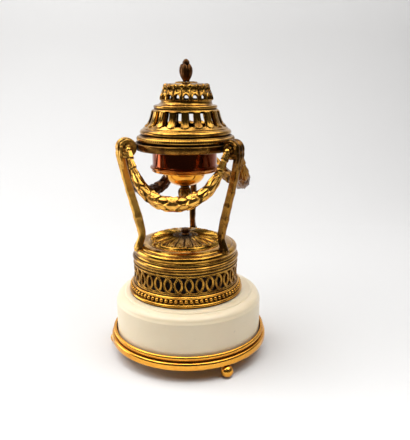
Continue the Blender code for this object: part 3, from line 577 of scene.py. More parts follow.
def leg_leaf(form):
    """A ribbed leaf that wraps over the scroll and tapers down the outside of the leg."""
    line = []
    for degrees in (150, 122, 94, 66, 40, 16, -8):
        a = math.radians(degrees)
        reach = VOLUTE_RADIUS - 0.45 * MM
        line.append((VOLUTE_CENTRE + reach * math.cos(a), VOLUTE_Z + reach * math.sin(a)))
    stem = flowing(leg_line(), 60)
    for down in (4, 7, 10, 13, 16, 18.5):
        z = VOLUTE_Z - down * MM
        r = np.interp(z, stem[:, 1], stem[:, 0])
        depth = np.interp(z, stem[:, 1], stem[:, 2])
        line.append((r + depth / 2 + blend(0.2, -0.5, down / 18) * MM, z))
    line = flowing(line, 84)
    along = unit_rows(np.gradient(line, axis=0))
    outs = np.column_stack([-along[:, 1], 0 * along[:, 0], along[:, 0]])
    sides = np.tile([0.0, 1.0, 0.0], (len(line), 1))
    centres = np.column_stack([line[:, 0], 0 * line[:, 0], line[:, 1]])
    share = np.linspace(0, 1, len(line))
    spread = np.clip(step_between(-0.10, 0.14, share) * (1 - step_between(0.60, 1.05, share)), 0.02, 1)
    scallop = 1 + 0.06 * np.cos(share * 2 * np.pi * 6)
    wide = (4.3 * MM * spread * scallop)[:, None]
    u = np.linspace(-1, 1, 29)
    ribs = 0.55 * MM * (0.5 + 0.5 * np.cos(u * math.pi * 3.5)) * (1 - 0.4 * u ** 2)
    droop = -1.0 * MM * u ** 2
    thick = 0.9 * MM
    top = joined(wide * u, 0 * wide + ribs + droop + 0.2 * MM)
    back = joined(wide * u[::-1], 0 * wide + droop[::-1] - thick)
    form.skin(swept(centres, outs, sides, np.concatenate([top, back], axis=1)))


def leg_foot(form):
    """A small paw: toes with round knuckles over the sole."""
    foot = leg_line()[1]
    base = leg_line()[0][1]
    reach = 2.3 * MM
    for k, turn in enumerate((-52, -18, 18, 52)):
        a = math.radians(turn)
        height = 1.55 if k in (1, 2) else 1.7
        centre = (foot[0] + reach * math.cos(a) * 0.9, reach * math.sin(a) * 1.15, base + height * MM)
        form.skin(ball_rows(centre, 1.12 * MM, 16, 10))
        knuckle = (centre[0] - 0.5 * MM, centre[1] * 0.8, centre[2] + 1.5 * MM)
        form.skin(ball_rows(knuckle, 1.0 * MM, 14, 9))


def make_legs(finishes):
    """One carved leg, lifted clear of the cover where it stands on it, and set three times."""
    form = Form()
    leg_stem(form)
    leg_scroll(form)
    leg_leaf(form)
    leg_foot(form)
    seat = sorted(cover_line()[4:] + [(PETAL_END - 4 * MM, petal_base() + 0.9 * MM)])
    seat_r, seat_z = (np.array(column) for column in zip(*seat))
    for points in form.points:
        reach = np.hypot(points[:, 0], points[:, 1])
        on_cover = reach < seat_r[-1]
        resting = np.interp(reach, seat_r, seat_z) + 0.2 * MM
        points[:, 2] = np.where(on_cover, np.maximum(points[:, 2], resting), points[:, 2])
    data = form.mesh("scrolled_leg", 50)
    for i, place in enumerate(LEG_PLACES):
        finished("scroll_leg_" + place, data.copy(), finishes[place], azimuth=LEG_FIRST_AZIMUTH + 120 * i)


# Laurel garlands

def garland_line(t, reach, drop):
    """Middle line of a garland along +X; t runs from -1 to 1 over the swag."""
    offset = VOLUTE_WIDTH / 2 + GAP + STALK_THICKNESS / 2
    turn = math.pi / 3 - math.asin(offset / VOLUTE_CENTRE)
    end = math.hypot(VOLUTE_CENTRE, offset)
    angle = t * turn
    radius = blend(reach, end, np.abs(t) ** 2.5)
    height = VOLUTE_Z - drop * (1 - 0.6 * t ** 2 - 0.4 * t ** 4)
    return joined(radius * np.cos(angle), radius * np.sin(angle), height)


def garland_frames(t, reach, drop):
    """Centres with the directions out of the object and across, for each t."""
    centres = garland_line(t, reach, drop)
    along = unit_rows(garland_line(t - 0.005, reach, drop) - garland_line(t + 0.005, reach, drop))
    outwards = centres * [1, 1, 0]
    sides = unit_rows(np.cross(along, unit_rows(outwards)))
    outs = np.cross(sides, along)
    return centres, unit_rows(outs), sides


def foliage_radius(t):
    """Radius of the bundle of leaves, fullest at the middle of the swag."""
    full = blend(0.62, 1.0, np.sin((1 - np.abs(t) / FOLIAGE_START).clip(0, 1) * math.pi / 2))
    return GARLAND_THICKNESS / 2 * full


def garland_leaf(form, start, end, around, reach, drop):
    """One laurel leaf laid along the bundle from start to its tip at end, with a ridge down its middle."""
    share = np.linspace(0, 1, 15)
    t = blend(start, end, share)
    centres, outs, sides = garland_frames(t, reach, drop)
    out = outs * math.cos(around) + sides * math.sin(around)
    side = sides * math.cos(around) - outs * math.sin(around)
    core = foliage_radius(t) * 0.72
    stand = core + LEAF_LIFT * (0.05 + 0.95 * share ** 0.7) * (1 - 0.35 * step_between(0.85, 1.0, share))
    centres = centres + out * stand[:, None]
    wide = (LEAF_WIDTH / 2 * np.sin(np.pi * (0.12 + 0.87 * share) ** 0.9).clip(0.04, 1))[:, None]
    u = np.linspace(-1, 1, 11)
    roof = 0.62 * MM * (1 - np.abs(u)) + 0.12 * MM * hump(u, 0, 0.12) - 0.35 * MM * u ** 2
    top = joined(wide * u, 0 * wide + roof)
    back = joined(wide * u[::-1], 0 * wide - 0.35 * MM * (u ** 2)[::-1] - 0.7 * MM)
    form.skin(swept(centres, out, side, np.concatenate([top, back], axis=1)))


def garland_husk(t):
    """Radius of the stalk: bell-shaped husks, one hanging out of the other, from the scroll to the leaves."""
    place = (1 - np.abs(t)) / (1 - FOLIAGE_START) * 3
    within = place % 1
    husk = 0.86 + 0.42 * within ** 0.8 - 0.25 * step_between(0.9, 1.0, within)
    return STALK_THICKNESS / 2 * husk * (1 + 0.10 * place.clip(0, 3))


def make_garlands(finishes):
    """Leaves in tiers from both ends to the middle, hung from husks, with a round knob at each end."""
    for i, place in enumerate(GARLAND_PLACES):
        reach, drop = GARLAND_REACH[place], GARLAND_DROP[place]
        form = Form()
        t = np.linspace(-1, 1, 240)
        centres, outs, sides = garland_frames(t, reach, drop)
        angle = full_turn(24)
        core = np.where(np.abs(t) < FOLIAGE_START, foliage_radius(t) * 0.72, garland_husk(t))
        lobes = 1 + 0.10 * np.cos(6 * angle)[None, :] * (np.abs(t) > FOLIAGE_START)[:, None]
        section = joined(np.sin(angle), np.cos(angle))
        form.skin(swept(centres, outs, sides, (core[:, None] * lobes)[..., None] * section))
        for end in (1, -1):
            for tier in range(LEAF_TIERS):
                start = blend(FOLIAGE_START + 0.04, 0.10, tier / (LEAF_TIERS - 1))
                tip = start - LEAF_LENGTH
                for k in range(LEAVES_AROUND):
                    around = 2 * math.pi * (k + (tier % 2) / 2) / LEAVES_AROUND
                    garland_leaf(form, end * start, end * tip, around, reach, drop)
            knob = garland_line(np.array([end * 0.99]), reach, drop)[0]
            form.skin(ball_rows(knob, KNOB_RADIUS, 18, 11))
        azimuth = LEG_FIRST_AZIMUTH + 60 + 120 * i
        finished("garland_" + place, form, finishes[place], azimuth=azimuth, sharp=38)


# Tray, burner and its pendant

def make_tray(gilding):
    """A flat ring with a rounded edge, wider above."""
    low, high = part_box("tray_ring")
    inner = 20.8 * MM
    tall = high.z - low.z
    edge = [(-1.3, 0), (-0.75, 0.15), (-0.3, 0.5), (-0.05, 0.85), (-0.45, 1)]
    profile = [(inner, low.z), *((TRAY_RADIUS + out * MM, low.z + share * tall) for out, share in edge)]
    profile.append((inner, high.z))
    bar = eased(profile, 0.5 * MM, True, 5)
    finished("tray_ring", Form().skin(turned_rows(bar, 192), ring=True), gilding)


def make_burner(copper):
    """The drum, the turned ledge and the bowl, one thin shell open at the top."""
    low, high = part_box("burner_bowl")
    drum, ledge, bowl = 20.5 * MM, 22.1 * MM, 13.2 * MM
    wall = 1.3 * MM
    ledge_z = 121.1 * MM
    ledge_top = ledge_z + 3.4 * MM
    profile = [
        (0.1 * MM, low.z + wall), (bowl * 0.6 - wall / 2, low.z + 2.8 * MM), (bowl - wall, ledge_z + wall),
        (drum - wall, ledge_top + wall / 2), (drum - wall, high.z), (drum, high.z),
        *((drum, z) for z in np.linspace(high.z - 1 * MM, ledge_top + 1.3 * MM, 5)),
        (drum + 0.2 * MM, ledge_top + 0.8 * MM), (ledge - 0.9 * MM, ledge_top + 0.5 * MM),
        *arc(ledge - 0.75 * MM, ledge_top - 0.35 * MM, 0.72 * MM, 70, -70, 6),
        *offsets(ledge, ledge_top, [(-0.9, -1.3), (-0.9, -1.7)]),
        *arc(ledge - 1.6 * MM, ledge_top - 2.25 * MM, 0.55 * MM, 60, -70, 5),
        (ledge - 3.0 * MM, ledge_z + 0.25 * MM), *offsets(bowl, ledge_z, [(2.2, 0), (0.7, -0.1)]),
    ]
    for a in np.linspace(0.05, 1.5, 16):
        profile.append((bowl * math.cos(a) ** 0.9, blend(ledge_z - 0.3 * MM, low.z, math.sin(a))))
    profile.append((0.1 * MM, low.z))
    form = Form().skin(turned_rows(eased(profile, 0.12 * MM), 192))
    finished("burner_bowl", form, copper, sharp=35)


def make_pendant(gilding):
    """A hanging bud with twelve ribs."""
    low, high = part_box("bowl_pendant")
    radius, tall = 4.5 * MM, high.z - low.z
    shape = [(0.62, 0.0), (0.66, 0.04), (0.62, 0.08), (0.86, 0.15), (1.0, 0.30), (0.99, 0.45),
             (0.9, 0.6), (0.68, 0.77), (0.42, 0.88), (0.30, 0.93), (0.22, 0.97), (0.02, 1.0)]
    line = flowing([(r * radius, high.z - t * tall) for r, t in shape], 60)

    def ribs(r, z, angle):
        shown = step_between(high.z - 0.12 * tall, high.z - 0.22 * tall, z)
        return r * (1 - 0.10 * shown * np.abs(np.sin(6 * angle))), z

    finished("bowl_pendant", Form().skin(turned_rows(line, 96, ribs)), gilding)


# Pierced lid

def lid_profile():
    """Outer (radius, height) of the lid, up from the quirk over its milled foot."""
    shape = [
        (29.2, 1.0), (29.2, 3.9), (28.5, 4.2), (27.9, 4.5), (27.9, 4.8), (28.4, 5.1), (28.75, 5.8),
        (28.65, 6.6), (28.1, 7.4), (27.3, 7.9), (26.8, 8.1), (26.65, 8.5), (26.5, 8.9), (26.0, 9.3),
        (25.3, 9.8), (24.6, 10.3),
        (23.9, 10.9), (23.2, 12.0), (22.6, 13.2), (22.05, 14.6), (21.55, 16.2), (21.15, 17.8), (20.9, 18.9),
        (20.6, 19.6), (20.2, 19.95), (19.5, 20.1), (19.3, 20.3), (19.6, 20.6), (19.85, 21.1), (19.9, 21.55),
        (19.75, 22.05), (19.35, 22.4), (18.8, 22.5), (18.0, 22.6), (17.1, 22.9), (16.4, 23.5), (16.0, 24.2),
        (15.9, 24.9), (16.1, 25.4), (16.3, 25.8), (16.25, 26.6), (15.95, 27.8), (15.45, 29.2), (14.85, 30.6),
        (14.3, 31.9), (13.95, 33.1), (13.6, 34.0), (13.05, 34.7), (12.3, 35.1), (11.2, 35.3), (9.6, 35.5),
        (7.6, 35.7), (5.5, 35.95), (4.1, 36.15), (3.0, 36.15),
    ]
    return offsets(0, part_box("pierced_lid")[0].z, shape)


def opening_share(z, low, high, widest, arched):
    """Half width of an opening at each height, as a share of its unit: 0 outside it, with rounded ends."""
    t = (z - low) / (high - low)
    inside = (t > 0) & (t < 1)
    if arched:
        width = np.sqrt(1 - np.clip((t - 0.45) / 0.55, 0, 1) ** 2) * np.sqrt(np.clip(t / 0.06, 0, 1))
    else:
        width = np.clip(1 - np.abs(2 * t - 1) ** 14, 0, 1) ** 0.5 * blend(0.97, 1.0, np.clip(t, 0, 1))
    return np.where(inside, widest * width, 0.0)


def skirt_leaf(u, bar, height):
    """Relief of the leaf-shaped bars: rounded, creased, with a tip curled out over the flare."""
    tip = np.clip((10.9 - height) / 1.2, 0, 1)
    width = bar * np.where(height < 10.9, np.sqrt(1 - tip ** 2).clip(0.001, 1) * 0.94, 0.98)
    near = np.abs(u) / width
    inside = (1 - step_between(0.94, 1.04, near)) * (height > 9.7) * (1 - step_between(18.9, 19.6, height))
    body = 0.50 * MM * np.sqrt(np.clip(1 - 0.9 * near ** 2, 0, 1))
    crease = 0.16 * MM * hump(near, 0, 0.18) * step_between(10.6, 12.5, height)
    edge = 0.14 * MM * hump(near, 0.86, 0.08)
    curl = 0.12 * MM * hump(height, 10.4, 0.7)
    notch = -0.20 * MM * (1 - inside) * (height > 9.0) * (height < 11.5)
    return inside * (body - crease + edge + curl) + notch


def crown_leaf(u, height):
    """Relief of the crown: a rim round each arch, a hollow over it, leaves that curl out at the top."""
    in_crown = step_between(25.3, 25.8, height) * (1 - step_between(34.9, 35.3, height))
    from_arch = 1 - np.abs(u)
    to_arch = np.hypot(from_arch / 0.62, np.clip(height - 27.2, 0, 9) / 2.2)
    rim = 0.42 * MM * hump(to_arch, 1.04, 0.16) * (height < 30.6)
    eye = np.hypot(from_arch / 0.74, (height - 32.1) / 1.65)
    hollow = -0.95 * MM * (1 - step_between(0.55, 1.05, eye))
    lid_over_eye = 0.45 * MM * hump(eye, 1.18, 0.18) * (height > 32.1)
    rib_width = 0.13 + 0.10 * step_between(32.0, 34.0, height)
    rib = 0.40 * MM * hump(u, 0, rib_width) * step_between(27.0, 29.0, height)
    flutes = 0.03 * MM * np.cos(u * math.pi * 3.0) * step_between(28.4, 29.6, height)
    curl = 0.50 * MM * hump(height, 34.1, 0.7) * (1 - 0.45 * step_between(0.6, 1.0, np.abs(u)))
    return in_crown * (rim + hollow + lid_over_eye + rib + flutes * (eye > 1) + curl)


def top_leaf(u, height, r):
    """Small leaves that lie round the finial's foot on the lid's flat top."""
    reach = (r / MM - 4.2) / 2.6
    spread = 0.85 * np.sqrt(np.clip(1 - np.clip(reach, 0, 1) ** 2, 0, 1)) + 0.001
    on_top = (reach < 1) * (height > 35.0) * step_between(-0.15, 0.05, reach)
    leaf = (1 - step_between(0.75, 1.0, np.abs(u) / spread)) * on_top
    return leaf * MM * (0.50 - 0.30 * hump(u, 0, 0.16))


def make_lid(gilding, soot):
    """The lid's shell, unit by unit between the openings: barred skirt, neck moulding and arcaded crown."""
    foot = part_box("pierced_lid")[0].z
    line = flowing(lid_profile(), 172)
    openings = (foot + 10.8 * MM, foot + 19.4 * MM), (foot + 25.9 * MM, foot + 29.0 * MM)
    extra = [end + step * MM for low, high in openings
             for end, step in ((low, 0), (low, 0.08), (low, 0.25), (high, 0), (high, -0.08), (high, -0.25))]
    climb = np.append(0, np.cumsum(np.linalg.norm(np.diff(line, axis=0), axis=1)))
    rising = np.maximum.accumulate(line[:, 1])
    lengths = np.sort(np.concatenate([climb, [np.interp(z, rising, climb) for z in extra]]))
    r = np.interp(lengths, climb, line[:, 0])
    z = np.interp(lengths, climb, line[:, 1])
    hole = opening_share(z, *openings[0], 0.45, False) + opening_share(z, *openings[1], 0.54, True)
    turn = np.radians(blend(LID_TURN, CROWN_TURN, step_between(foot + 22.8 * MM, foot + 24.6 * MM, z)) - 90)
    shift = CROWN_SHIFT * step_between(foot + 22.5 * MM, foot + 24.8 * MM, z)[:, None]
    unit = math.pi / LID_UNITS
    wall = blend(2.1 * MM, 1.2 * MM, step_between(foot + 19.5 * MM, foot + 22.5 * MM, z))[:, None]
    columns = 18
    inner_columns = 3
    bar = (1 - hole)[:, None]
    u = np.linspace(-1, 1, columns + 1)[None, :] * bar
    height = ((z - foot) / MM)[:, None] + 0 * u
    below = height < 21
    relief = np.where(below, skirt_leaf(u, np.where(bar < 1, bar, 0.62), height), 0)
    relief = relief + crown_leaf(u, height) + top_leaf(u, height, r[:, None])

    slope = unit_rows(np.column_stack([np.gradient(r), np.gradient(z)]))
    out_r, out_z = slope[:, 1][:, None], -slope[:, 0][:, None]
    inner_r = np.maximum(r[:, None] - wall * np.maximum(out_r, 0.25), 1.0 * MM)
    inner_z = z[:, None] - wall * np.clip(out_z, 0, 1)
    v = np.linspace(-1, 1, inner_columns + 1)[None, :] * bar
    form = Form()
    outer_index = np.arange(len(z) * (columns + 1)).reshape(len(z), -1)
    inner_index = np.arange(len(z) * (inner_columns + 1)).reshape(len(z), -1)
    pierced = np.flatnonzero((hole[:-1] > 0) | (hole[1:] > 0))

    jambs = []
    for i in pierced:
        for side in (0, -1):
            inner_side = inner_index[:, side] + outer_index.size
            jambs.append([outer_index[i, side], outer_index[i + 1, side], inner_side[i + 1], inner_side[i]])
    for k in range(LID_UNITS):
        middle = turn[:, None] + 2 * unit * (k + 0.5)
        angle = middle + u * unit
        reach = r[:, None] + relief * out_r
        lifted = z[:, None] + relief * out_z
        outer = joined(reach * np.cos(angle) + shift, reach * np.sin(angle), lifted)
        angle = middle + v * unit
        inner = joined(inner_r * np.cos(angle) + shift, inner_r * np.sin(angle), inner_z + 0 * v)
        form.add(outer, quads_of(outer_index))
        form.add(inner, quads_of(inner_index[:, ::-1]), coat=1)
        form.add(np.vstack([outer.reshape(-1, 3), inner.reshape(-1, 3)]), jambs)

    # The milled foot ring closes the shell below, and a small cap closes it above
    mills = 128

    def milled(ring_r, ring_z, angle):
        shown = step_between(29.6 * MM, 30.2 * MM, ring_r)
        return ring_r + 0.11 * MM * shown * np.cos(mills * angle), ring_z

    ring = [
        *offsets(0, foot, [(27.3, 0), (29.6, 0)]),
        *arc(28.95 * MM, foot + 2.05 * MM, 1.85 * MM, -66, 78, 10),
        *offsets(0, foot, [(28.6, 4.0), (27.3, 4.4)]),
    ]
    form.skin(turned_rows(ring, mills * 5, milled), ring=True)
    top = foot + 36.15 * MM
    cap = offsets(0, top, [(0.1, -1.4), (4.4, -1.4), (4.2, -0.05), (0.1, 0)])
    form.skin(turned_rows(cap, 48) + [CROWN_SHIFT, 0, 0])
    finished("pierced_lid", form, (gilding, soot), place=(LID_X, 0, 0), azimuth=90, sharp=45)


def make_finial(bronze):
    """A bud of five veined leaves, open at the top round a pointed core."""
    low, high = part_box("lid_finial")
    radius, tall = (high.x - low.x) / 2, high.z - low.z

    def shell(shape, count):
        return flowing([(r * radius, low.z + t * tall) for r, t in shape], count)

    outer = shell([(0.05, 0.0), (0.46, 0.0), (0.50, 0.035), (0.64, 0.11), (0.85, 0.24), (0.97, 0.38),
                   (1.0, 0.48), (0.97, 0.58), (0.89, 0.67), (0.78, 0.745), (0.62, 0.775), (0.40, 0.74),
                   (0.20, 0.68)], 80)
    core = shell([(0.30, 0.62), (0.46, 0.70), (0.54, 0.79), (0.50, 0.87), (0.36, 0.94), (0.18, 0.985),
                  (0.02, 1.0)], 34)

    def leaves(r, z, angle):
        t = (z - low.z) / tall
        across = (angle * 5 / (2 * np.pi)) % 1 - 0.5
        shown = step_between(0.02, 0.16, t)
        gap = hump(np.abs(across), 0.5, 0.05)
        vein = hump(across, 0, 0.05) + 0.5 * hump(np.abs(across), 0.25, 0.04)
        droop = 0.11 * tall * step_between(0.45, 0.80, t) * np.abs(2 * across) ** 1.6
        return r * (1 - shown * (0.13 * gap - 0.035 * vein)), z - droop

    def ribs(r, z, angle):
        return r * (1 - 0.07 * np.abs(np.sin(3 * angle))), z

    form = Form().skin(turned_rows(outer, 110, leaves)).skin(turned_rows(core, 60, ribs))
    finished("lid_finial", form, bronze, (FINIAL_X, 0, 0))


# Finishes

def node(tree, kind, inputs=None, **settings):
    """A shader node with its inputs linked or set."""
    made = tree.nodes.new(kind)
    for name, value in settings.items():
        setattr(made, name, value)
    for name, value in (inputs or {}).items():
        socket = made.inputs[name]
        if isinstance(value, bpy.types.NodeSocket):
            tree.links.new(value, socket)
        else:
            socket.default_value = value
    return made


def new_group(name, inputs, outputs):
    """An effect that several finishes share, with the nodes its values come in and go out by."""
    group = bpy.data.node_groups.new(name, "ShaderNodeTree")
    for label, kind, value in inputs:
        socket = group.interface.new_socket(name=label, in_out="INPUT", socket_type=kind)
        if value is not None:
            socket.default_value = value
    for label, kind in outputs:
        group.interface.new_socket(name=label, in_out="OUTPUT", socket_type=kind)
    return group, group.nodes.new("NodeGroupInput"), group.nodes.new("NodeGroupOutput")


def colour(r, g, b):
    """A colour seen on screen, 0 to 255, as the shader wants it."""
    return (*((c / 255 / 12.92 if c < 10.3 else ((c / 255 + 0.055) / 1.055) ** 2.4) for c in (r, g, b)), 1.0)


def noise(tree, scale, detail, **more):
    """Values that change over the surface in soft blots."""
    coords = node(tree, "ShaderNodeTexCoord").outputs["Object"]
    inputs = {"Vector": coords, "Scale": scale, "Detail": detail, **more}
    return node(tree, "ShaderNodeTexNoise", inputs).outputs["Fac"]


def remap(tree, value, low, high, to_low=0.0, to_high=1.0):
    """The value carried from one range to another and held at its ends."""
    limits = {"From Min": low, "From Max": high, "To Min": to_low, "To Max": to_high}
    return node(tree, "ShaderNodeMapRange", {"Value": value, **limits}).outputs["Result"]


def computed(tree, operation, *values):
    return node(tree, "ShaderNodeMath", dict(enumerate(values)), operation=operation).outputs["Value"]


def mixed(tree, factor, first, second):
    return node(tree, "ShaderNodeMix", {"Factor": factor, 6: first, 7: second}, data_type="RGBA").outputs[2]


def from_axis(tree):
    """Distance of each point from its piece's axis."""
    coords = node(tree, "ShaderNodeTexCoord").outputs["Object"]
    level = node(tree, "ShaderNodeVectorMath", {0: coords, 1: (1.0, 1.0, 0.0)}, operation="MULTIPLY")
    reach = node(tree, "ShaderNodeVectorMath", {0: level.outputs["Vector"]}, operation="LENGTH")
    return reach.outputs["Value"]


def roughen(tree, shader, height, strength, distance):
    """A shallow unevenness that only the light shows."""
    bump = node(tree, "ShaderNodeBump", {"Height": height, "Strength": strength, "Distance": distance})
    tree.links.new(bump.outputs["Normal"], shader.inputs["Normal"])


def worn_gilding_and_shade():
    """Patches of thin gilding, a dark colour in the hollows that is partly specks of grime and partly painted
    shade, and a cloudy polish.
    """
    group, given, out = new_group(
        "worn_gilding_and_shade",
        [("Gold", "NodeSocketColor", None), ("Thin Gold", "NodeSocketColor", None),
         ("Grime And Shade", "NodeSocketColor", None), ("Hollow", "NodeSocketFloat", 0.0),
         ("Wear", "NodeSocketFloat", 0.5), ("Roughness", "NodeSocketFloat", 0.25)],
        [("Color", "NodeSocketColor"), ("Roughness", "NodeSocketFloat"), ("Height", "NodeSocketFloat")])
    put = given.outputs
    patches = noise(group, 95.0, 4.0, Roughness=0.62)
    specks = noise(group, 900.0, 3.0, Roughness=0.7)
    worn = computed(group, "MULTIPLY", remap(group, patches, 0.42, 0.66), put["Wear"])
    gold = mixed(group, worn, put["Gold"], put["Thin Gold"])
    # The grime and shade mask: specks of dirt, plus the Hollow input, which carries painted shade in the
    # hollows.
    hollow = computed(group, "ADD", put["Hollow"], computed(group, "MULTIPLY", specks, 0.35))
    grime_and_shade = remap(group, hollow, 0.26, 0.70)
    rough = computed(group, "MULTIPLY_ADD", grime_and_shade, 0.35, put["Roughness"])
    group.links.new(mixed(group, grime_and_shade, gold, put["Grime And Shade"]), out.inputs["Color"])
    group.links.new(computed(group, "MULTIPLY_ADD", patches, 0.14, rough), out.inputs["Roughness"])
    group.links.new(specks, out.inputs["Height"])
    return group


def new_finish(name):
    """A material, its nodes and its shader."""
    material = bpy.data.materials.new(name)
    material.use_nodes = True
    return material, material.node_tree, material.node_tree.nodes["Principled BSDF"]


def gilding_finish(name, effect, gold, thin, grime_and_shade, wear, roughness, reach, uneven, darker_middle=0.0):
    """Worn gilding with painted shade in the hollows. In mm: reach of the painted shade round the hollows,
    and how far from the axis the gilding darkens towards the middle.
    """
    material, tree, shader = new_finish(name)
    # Painted shade: the gilding darkens where ambient occlusion finds the surface enclosed, in hollows and
    # between parts.
    shade = node(tree, "ShaderNodeAmbientOcclusion", {"Distance": reach * MM}, samples=8)
    hollow = computed(tree, "SUBTRACT", 1.0, shade.outputs["AO"])
    worn = node(tree, "ShaderNodeGroup", node_tree=effect)
    for label, seen in (("Gold", gold), ("Thin Gold", thin), ("Grime And Shade", grime_and_shade)):
        worn.inputs[label].default_value = colour(*seen)
    worn.inputs["Wear"].default_value = wear
    worn.inputs["Roughness"].default_value = roughness
    # Darker towards the axis, inside a radius given in mm.
    if darker_middle:
        middle = remap(tree, from_axis(tree), 1.25 * darker_middle * MM, 0.9 * darker_middle * MM, to_high=0.42)
        hollow = computed(tree, "ADD", hollow, middle)
    tree.links.new(hollow, worn.inputs["Hollow"])
    tree.links.new(worn.outputs["Color"], shader.inputs["Base Color"])
    tree.links.new(worn.outputs["Roughness"], shader.inputs["Roughness"])
    roughen(tree, shader, worn.outputs["Height"], uneven, 0.05 * MM)
    shader.inputs["Metallic"].default_value = 1.0
    return material


def marble_finish():
    """Creamy marble with faint clouds and grey stains, and painted shade on the top inside the gallery, under
    the cover.
    """
    material, tree, shader = new_finish("white_marble")
    clouds = noise(tree, 38.0, 6.0, Roughness=0.6, Distortion=0.6)
    tone = mixed(tree, clouds, colour(238, 219, 184), colour(246, 231, 201))
    stain = remap(tree, noise(tree, 160.0, 3.0, Roughness=0.55), 0.70, 0.80, to_high=0.5)
    stained = mixed(tree, stain, tone, colour(150, 140, 122))
    # Painted shade: the top is nearly black from 35.5 mm in towards the axis, where the gallery and cover
    # close it in.
    shade_inside_gallery = remap(tree, from_axis(tree), 35.5 * MM, 33.5 * MM)
    tree.links.new(mixed(tree, shade_inside_gallery, stained, colour(30, 17, 8)), shader.inputs["Base Color"])
    tree.links.new(remap(tree, shade_inside_gallery, 0.0, 1.0, 0.33, 0.9), shader.inputs["Roughness"])
    shader.inputs["Subsurface Weight"].default_value = 0.25
    shader.inputs["Subsurface Radius"].default_value = (1.0, 0.8, 0.55)
    shader.inputs["Subsurface Scale"].default_value = 2.5 * MM
    roughen(tree, shader, clouds, 0.15, 0.2 * MM)
    return material


def copper_finish():
    """Polished reddish drum over an orange-gold bowl."""
    material, tree, shader = new_finish("copper_red_drum")
    coords = node(tree, "ShaderNodeTexCoord").outputs["Object"]
    split = node(tree, "ShaderNodeSeparateXYZ", {"Vector": coords})
    height = remap(tree, split.outputs["Z"], 120.6 * MM, 125.4 * MM)
    red = mixed(tree, height, colour(240, 166, 54), colour(148, 72, 38))
    tarnish = remap(tree, noise(tree, 120.0, 3.0), 0.45, 0.75, to_high=0.55)
    tree.links.new(mixed(tree, tarnish, red, colour(128, 60, 38)), shader.inputs["Base Color"])
    shader.inputs["Roughness"].default_value = 0.14
    shader.inputs["Metallic"].default_value = 1.0
    return material


def soot_finish():
    """Soot baked on the metal inside the lid."""
    material, tree, shader = new_finish("soot")
    flakes = noise(tree, 260.0, 4.0)
    tree.links.new(mixed(tree, flakes, colour(20, 10, 5), colour(58, 34, 16)), shader.inputs["Base Color"])
    roughen(tree, shader, flakes, 0.4, 0.1 * MM)
    shader.inputs["Roughness"].default_value = 0.75
    shader.inputs["Metallic"].default_value = 0.4
    return material


def floor_finish():
    """White paper with the faintest unevenness."""
    material, tree, shader = new_finish("pale_floor")
    tone = mixed(tree, noise(tree, 3.0, 2.0), (0.70, 0.695, 0.69, 1.0), (0.74, 0.735, 0.73, 1.0))
    tree.links.new(tone, shader.inputs["Base Color"])
    shader.inputs["Roughness"].default_value = 0.9
    shader.inputs["Specular IOR Level"].default_value = 0.1
    return material


# Studio: camera, sweep of pale paper, soft light

def make_camera():
    """The photograph's view, as fitted to it: the sensor's 36 mm lie along the picture's long side."""
    right_of_axis, in_front, up = 11.28 * MM, 336.9 * MM, 177.7 * MM
    downward_tilt = 14.807
    data = bpy.data.cameras.new("camera")
    data.lens = 43.36
    data.sensor_width = 36.0
    data.clip_start = 0.01
    item = bpy.data.objects.new("camera", data)
    bpy.context.scene.collection.objects.link(item)
    item.location = (BASE_X + right_of_axis, -in_front, up)
    item.rotation_euler = (math.radians(90 - downward_tilt), 0, 0)
    bpy.context.scene.camera = item


def make_stage():
    """A sheet of white paper under the burner, swept up behind it; it stops a little in front."""
    front, back, bend, top, half = -0.20, 0.30, 0.25, 0.90, 0.80
    line = [(front, 0.0), (back, 0.0)]
    line += [(back + bend * math.sin(a), bend * (1 - math.cos(a))) for a in np.linspace(0.1, math.pi / 2, 14)]
    line += [(back + bend, top)]
    rows = np.array([[(x, y, z) for x in (-half, half)] for y, z in line])
    data = Form().skin(rows, around=False).mesh("sweep", 80)
    data.materials.append(floor_finish())
    item = bpy.data.objects.new("sweep", data)
    bpy.context.scene.collection.objects.link(item)


def soft_light(name, azimuth, distance, height, size, power, aim=(0, 0, 0.09), spread=180):
    """A rectangular panel. azimuth runs from the front towards +X, spread is its beam's angle; in degrees."""
    data = bpy.data.lights.new(name, "AREA")
    data.shape = "RECTANGLE"
    data.size, data.size_y = size
    data.energy = power
    data.spread = math.radians(spread)
    item = bpy.data.objects.new(name, data)
    bpy.context.scene.collection.objects.link(item)
    turn = math.radians(azimuth)
    item.location = (distance * math.sin(turn), -distance * math.cos(turn), height)
    item.rotation_euler = (Vector(aim) - item.location).to_track_quat("-Z", "Y").to_euler()


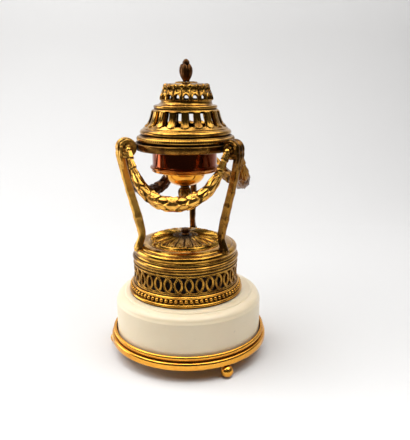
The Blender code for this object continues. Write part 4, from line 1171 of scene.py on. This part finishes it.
def make_light():
    """Two wide panels overhead with a dark gap between them, a weak one at the left, and two washes."""
    world = bpy.data.worlds.new("studio")
    bpy.context.scene.world = world
    world.use_nodes = True
    tree = world.node_tree
    background = tree.nodes["Background"]
    around = node(tree, "ShaderNodeTexCoord").outputs["Generated"]
    split = node(tree, "ShaderNodeSeparateXYZ", {"Vector": around})
    tree.links.new(remap(tree, split.outputs["Y"], -0.4, 0.8, 0.04, 0.40), background.inputs["Strength"])
    background.inputs["Color"].default_value = (1.0, 0.99, 0.98, 1.0)
    soft_light("left_panel", -84, 0.42, 0.72, (0.95, 0.46), 5.2)
    soft_light("right_panel", 84, 0.40, 0.72, (0.95, 0.40), 2.9)
    soft_light("left_wall", -102, 0.60, 0.16, (0.35, 0.30), 1.1)
    soft_light("floor_wash", 0, 0.22, 0.70, (0.45, 0.16), 0.26, (0, -0.20, 0), 40)
    soft_light("backdrop_wash", -165, 0.15, 0.90, (0.9, 0.3), 2.6, (0.12, 0.55, 0.20))


# Colours of the gold, of thin gold and of the grime with painted shade; wear, roughness, reach of the painted
# shade round the hollows in mm, unevenness, and for the cover how far from its axis, in mm, it darkens
# towards the middle
GILDINGS = {
    "bright_gilding": ((240, 172, 66), (212, 134, 42), (80, 40, 10), 0.5, 0.16, 1.2, 0.25),
    "cover_gilding": ((208, 156, 64), (128, 84, 30), (30, 14, 5), 0.9, 0.08, 2.2, 0.2, 8.0),
    "lid_gilding": ((192, 142, 60), (114, 74, 28), (38, 18, 6), 1.0, 0.11, 2.2, 0.25),
    "garland_gilding": ((236, 178, 82), (180, 122, 52), (84, 50, 18), 0.8, 0.17, 1.2, 0.3),
    # Painted shade: a darkened copy of the gilding for parts that lie in shade, the right and back legs, the
    # right garland, the tray and the pendant.
    "painted_shade_gilding": ((150, 105, 43), (76, 47, 20), (24, 12, 5), 1.0, 0.20, 2.5, 0.4),
    # The left leg keeps its gilding; the right and back legs, the same casting, take the painted shade above.
    "left_leg_gilding": ((238, 184, 88), (150, 104, 46), (40, 22, 8), 0.9, 0.30, 1.5, 0.4),
    "beaded_gilding": ((228, 166, 66), (160, 100, 36), (36, 16, 5), 0.8, 0.10, 2.2, 0.25),
    # Painted shade: a much darker copy for the left garland, deep in shade behind the burner.
    "painted_deep_shade_gilding": ((84, 50, 24), (52, 28, 14), (14, 8, 4), 0.9, 0.28, 3.0, 0.4),
    "dark_bronze": ((110, 70, 36), (58, 36, 20), (20, 11, 6), 0.8, 0.30, 1.5, 0.4),
}


def main():
    effect = worn_gilding_and_shade()
    finish = {name: gilding_finish(name, effect, *values) for name, values in GILDINGS.items()}
    bright, painted_shade, lid = finish["bright_gilding"], finish["painted_shade_gilding"], finish["lid_gilding"]
    bronze = finish["dark_bronze"]

    make_ball_feet(bright)
    make_base_ring(bright)
    make_marble(marble_finish())
    make_collar(finish["beaded_gilding"])
    make_gallery(lid)
    make_cornice(lid)
    make_dome(finish["cover_gilding"])
    make_boss(bronze)
    # The legs are one casting: the right and back ones get painted shade.
    make_legs({"left": finish["left_leg_gilding"], "right": painted_shade, "back": painted_shade})
    # Painted shade on the right garland, and deeper painted shade on the left one behind.
    make_garlands({"front": finish["garland_gilding"], "right": painted_shade, "left": finish["painted_deep_shade_gilding"]})
    # The tray and the pendant get painted shade as well.
    make_tray(painted_shade)
    make_burner(copper_finish())
    make_pendant(painted_shade)
    make_lid(lid, soot_finish())
    make_finial(bronze)

    make_camera()
    make_stage()
    make_light()
    bpy.context.scene.view_settings.view_transform = "Standard"


main()
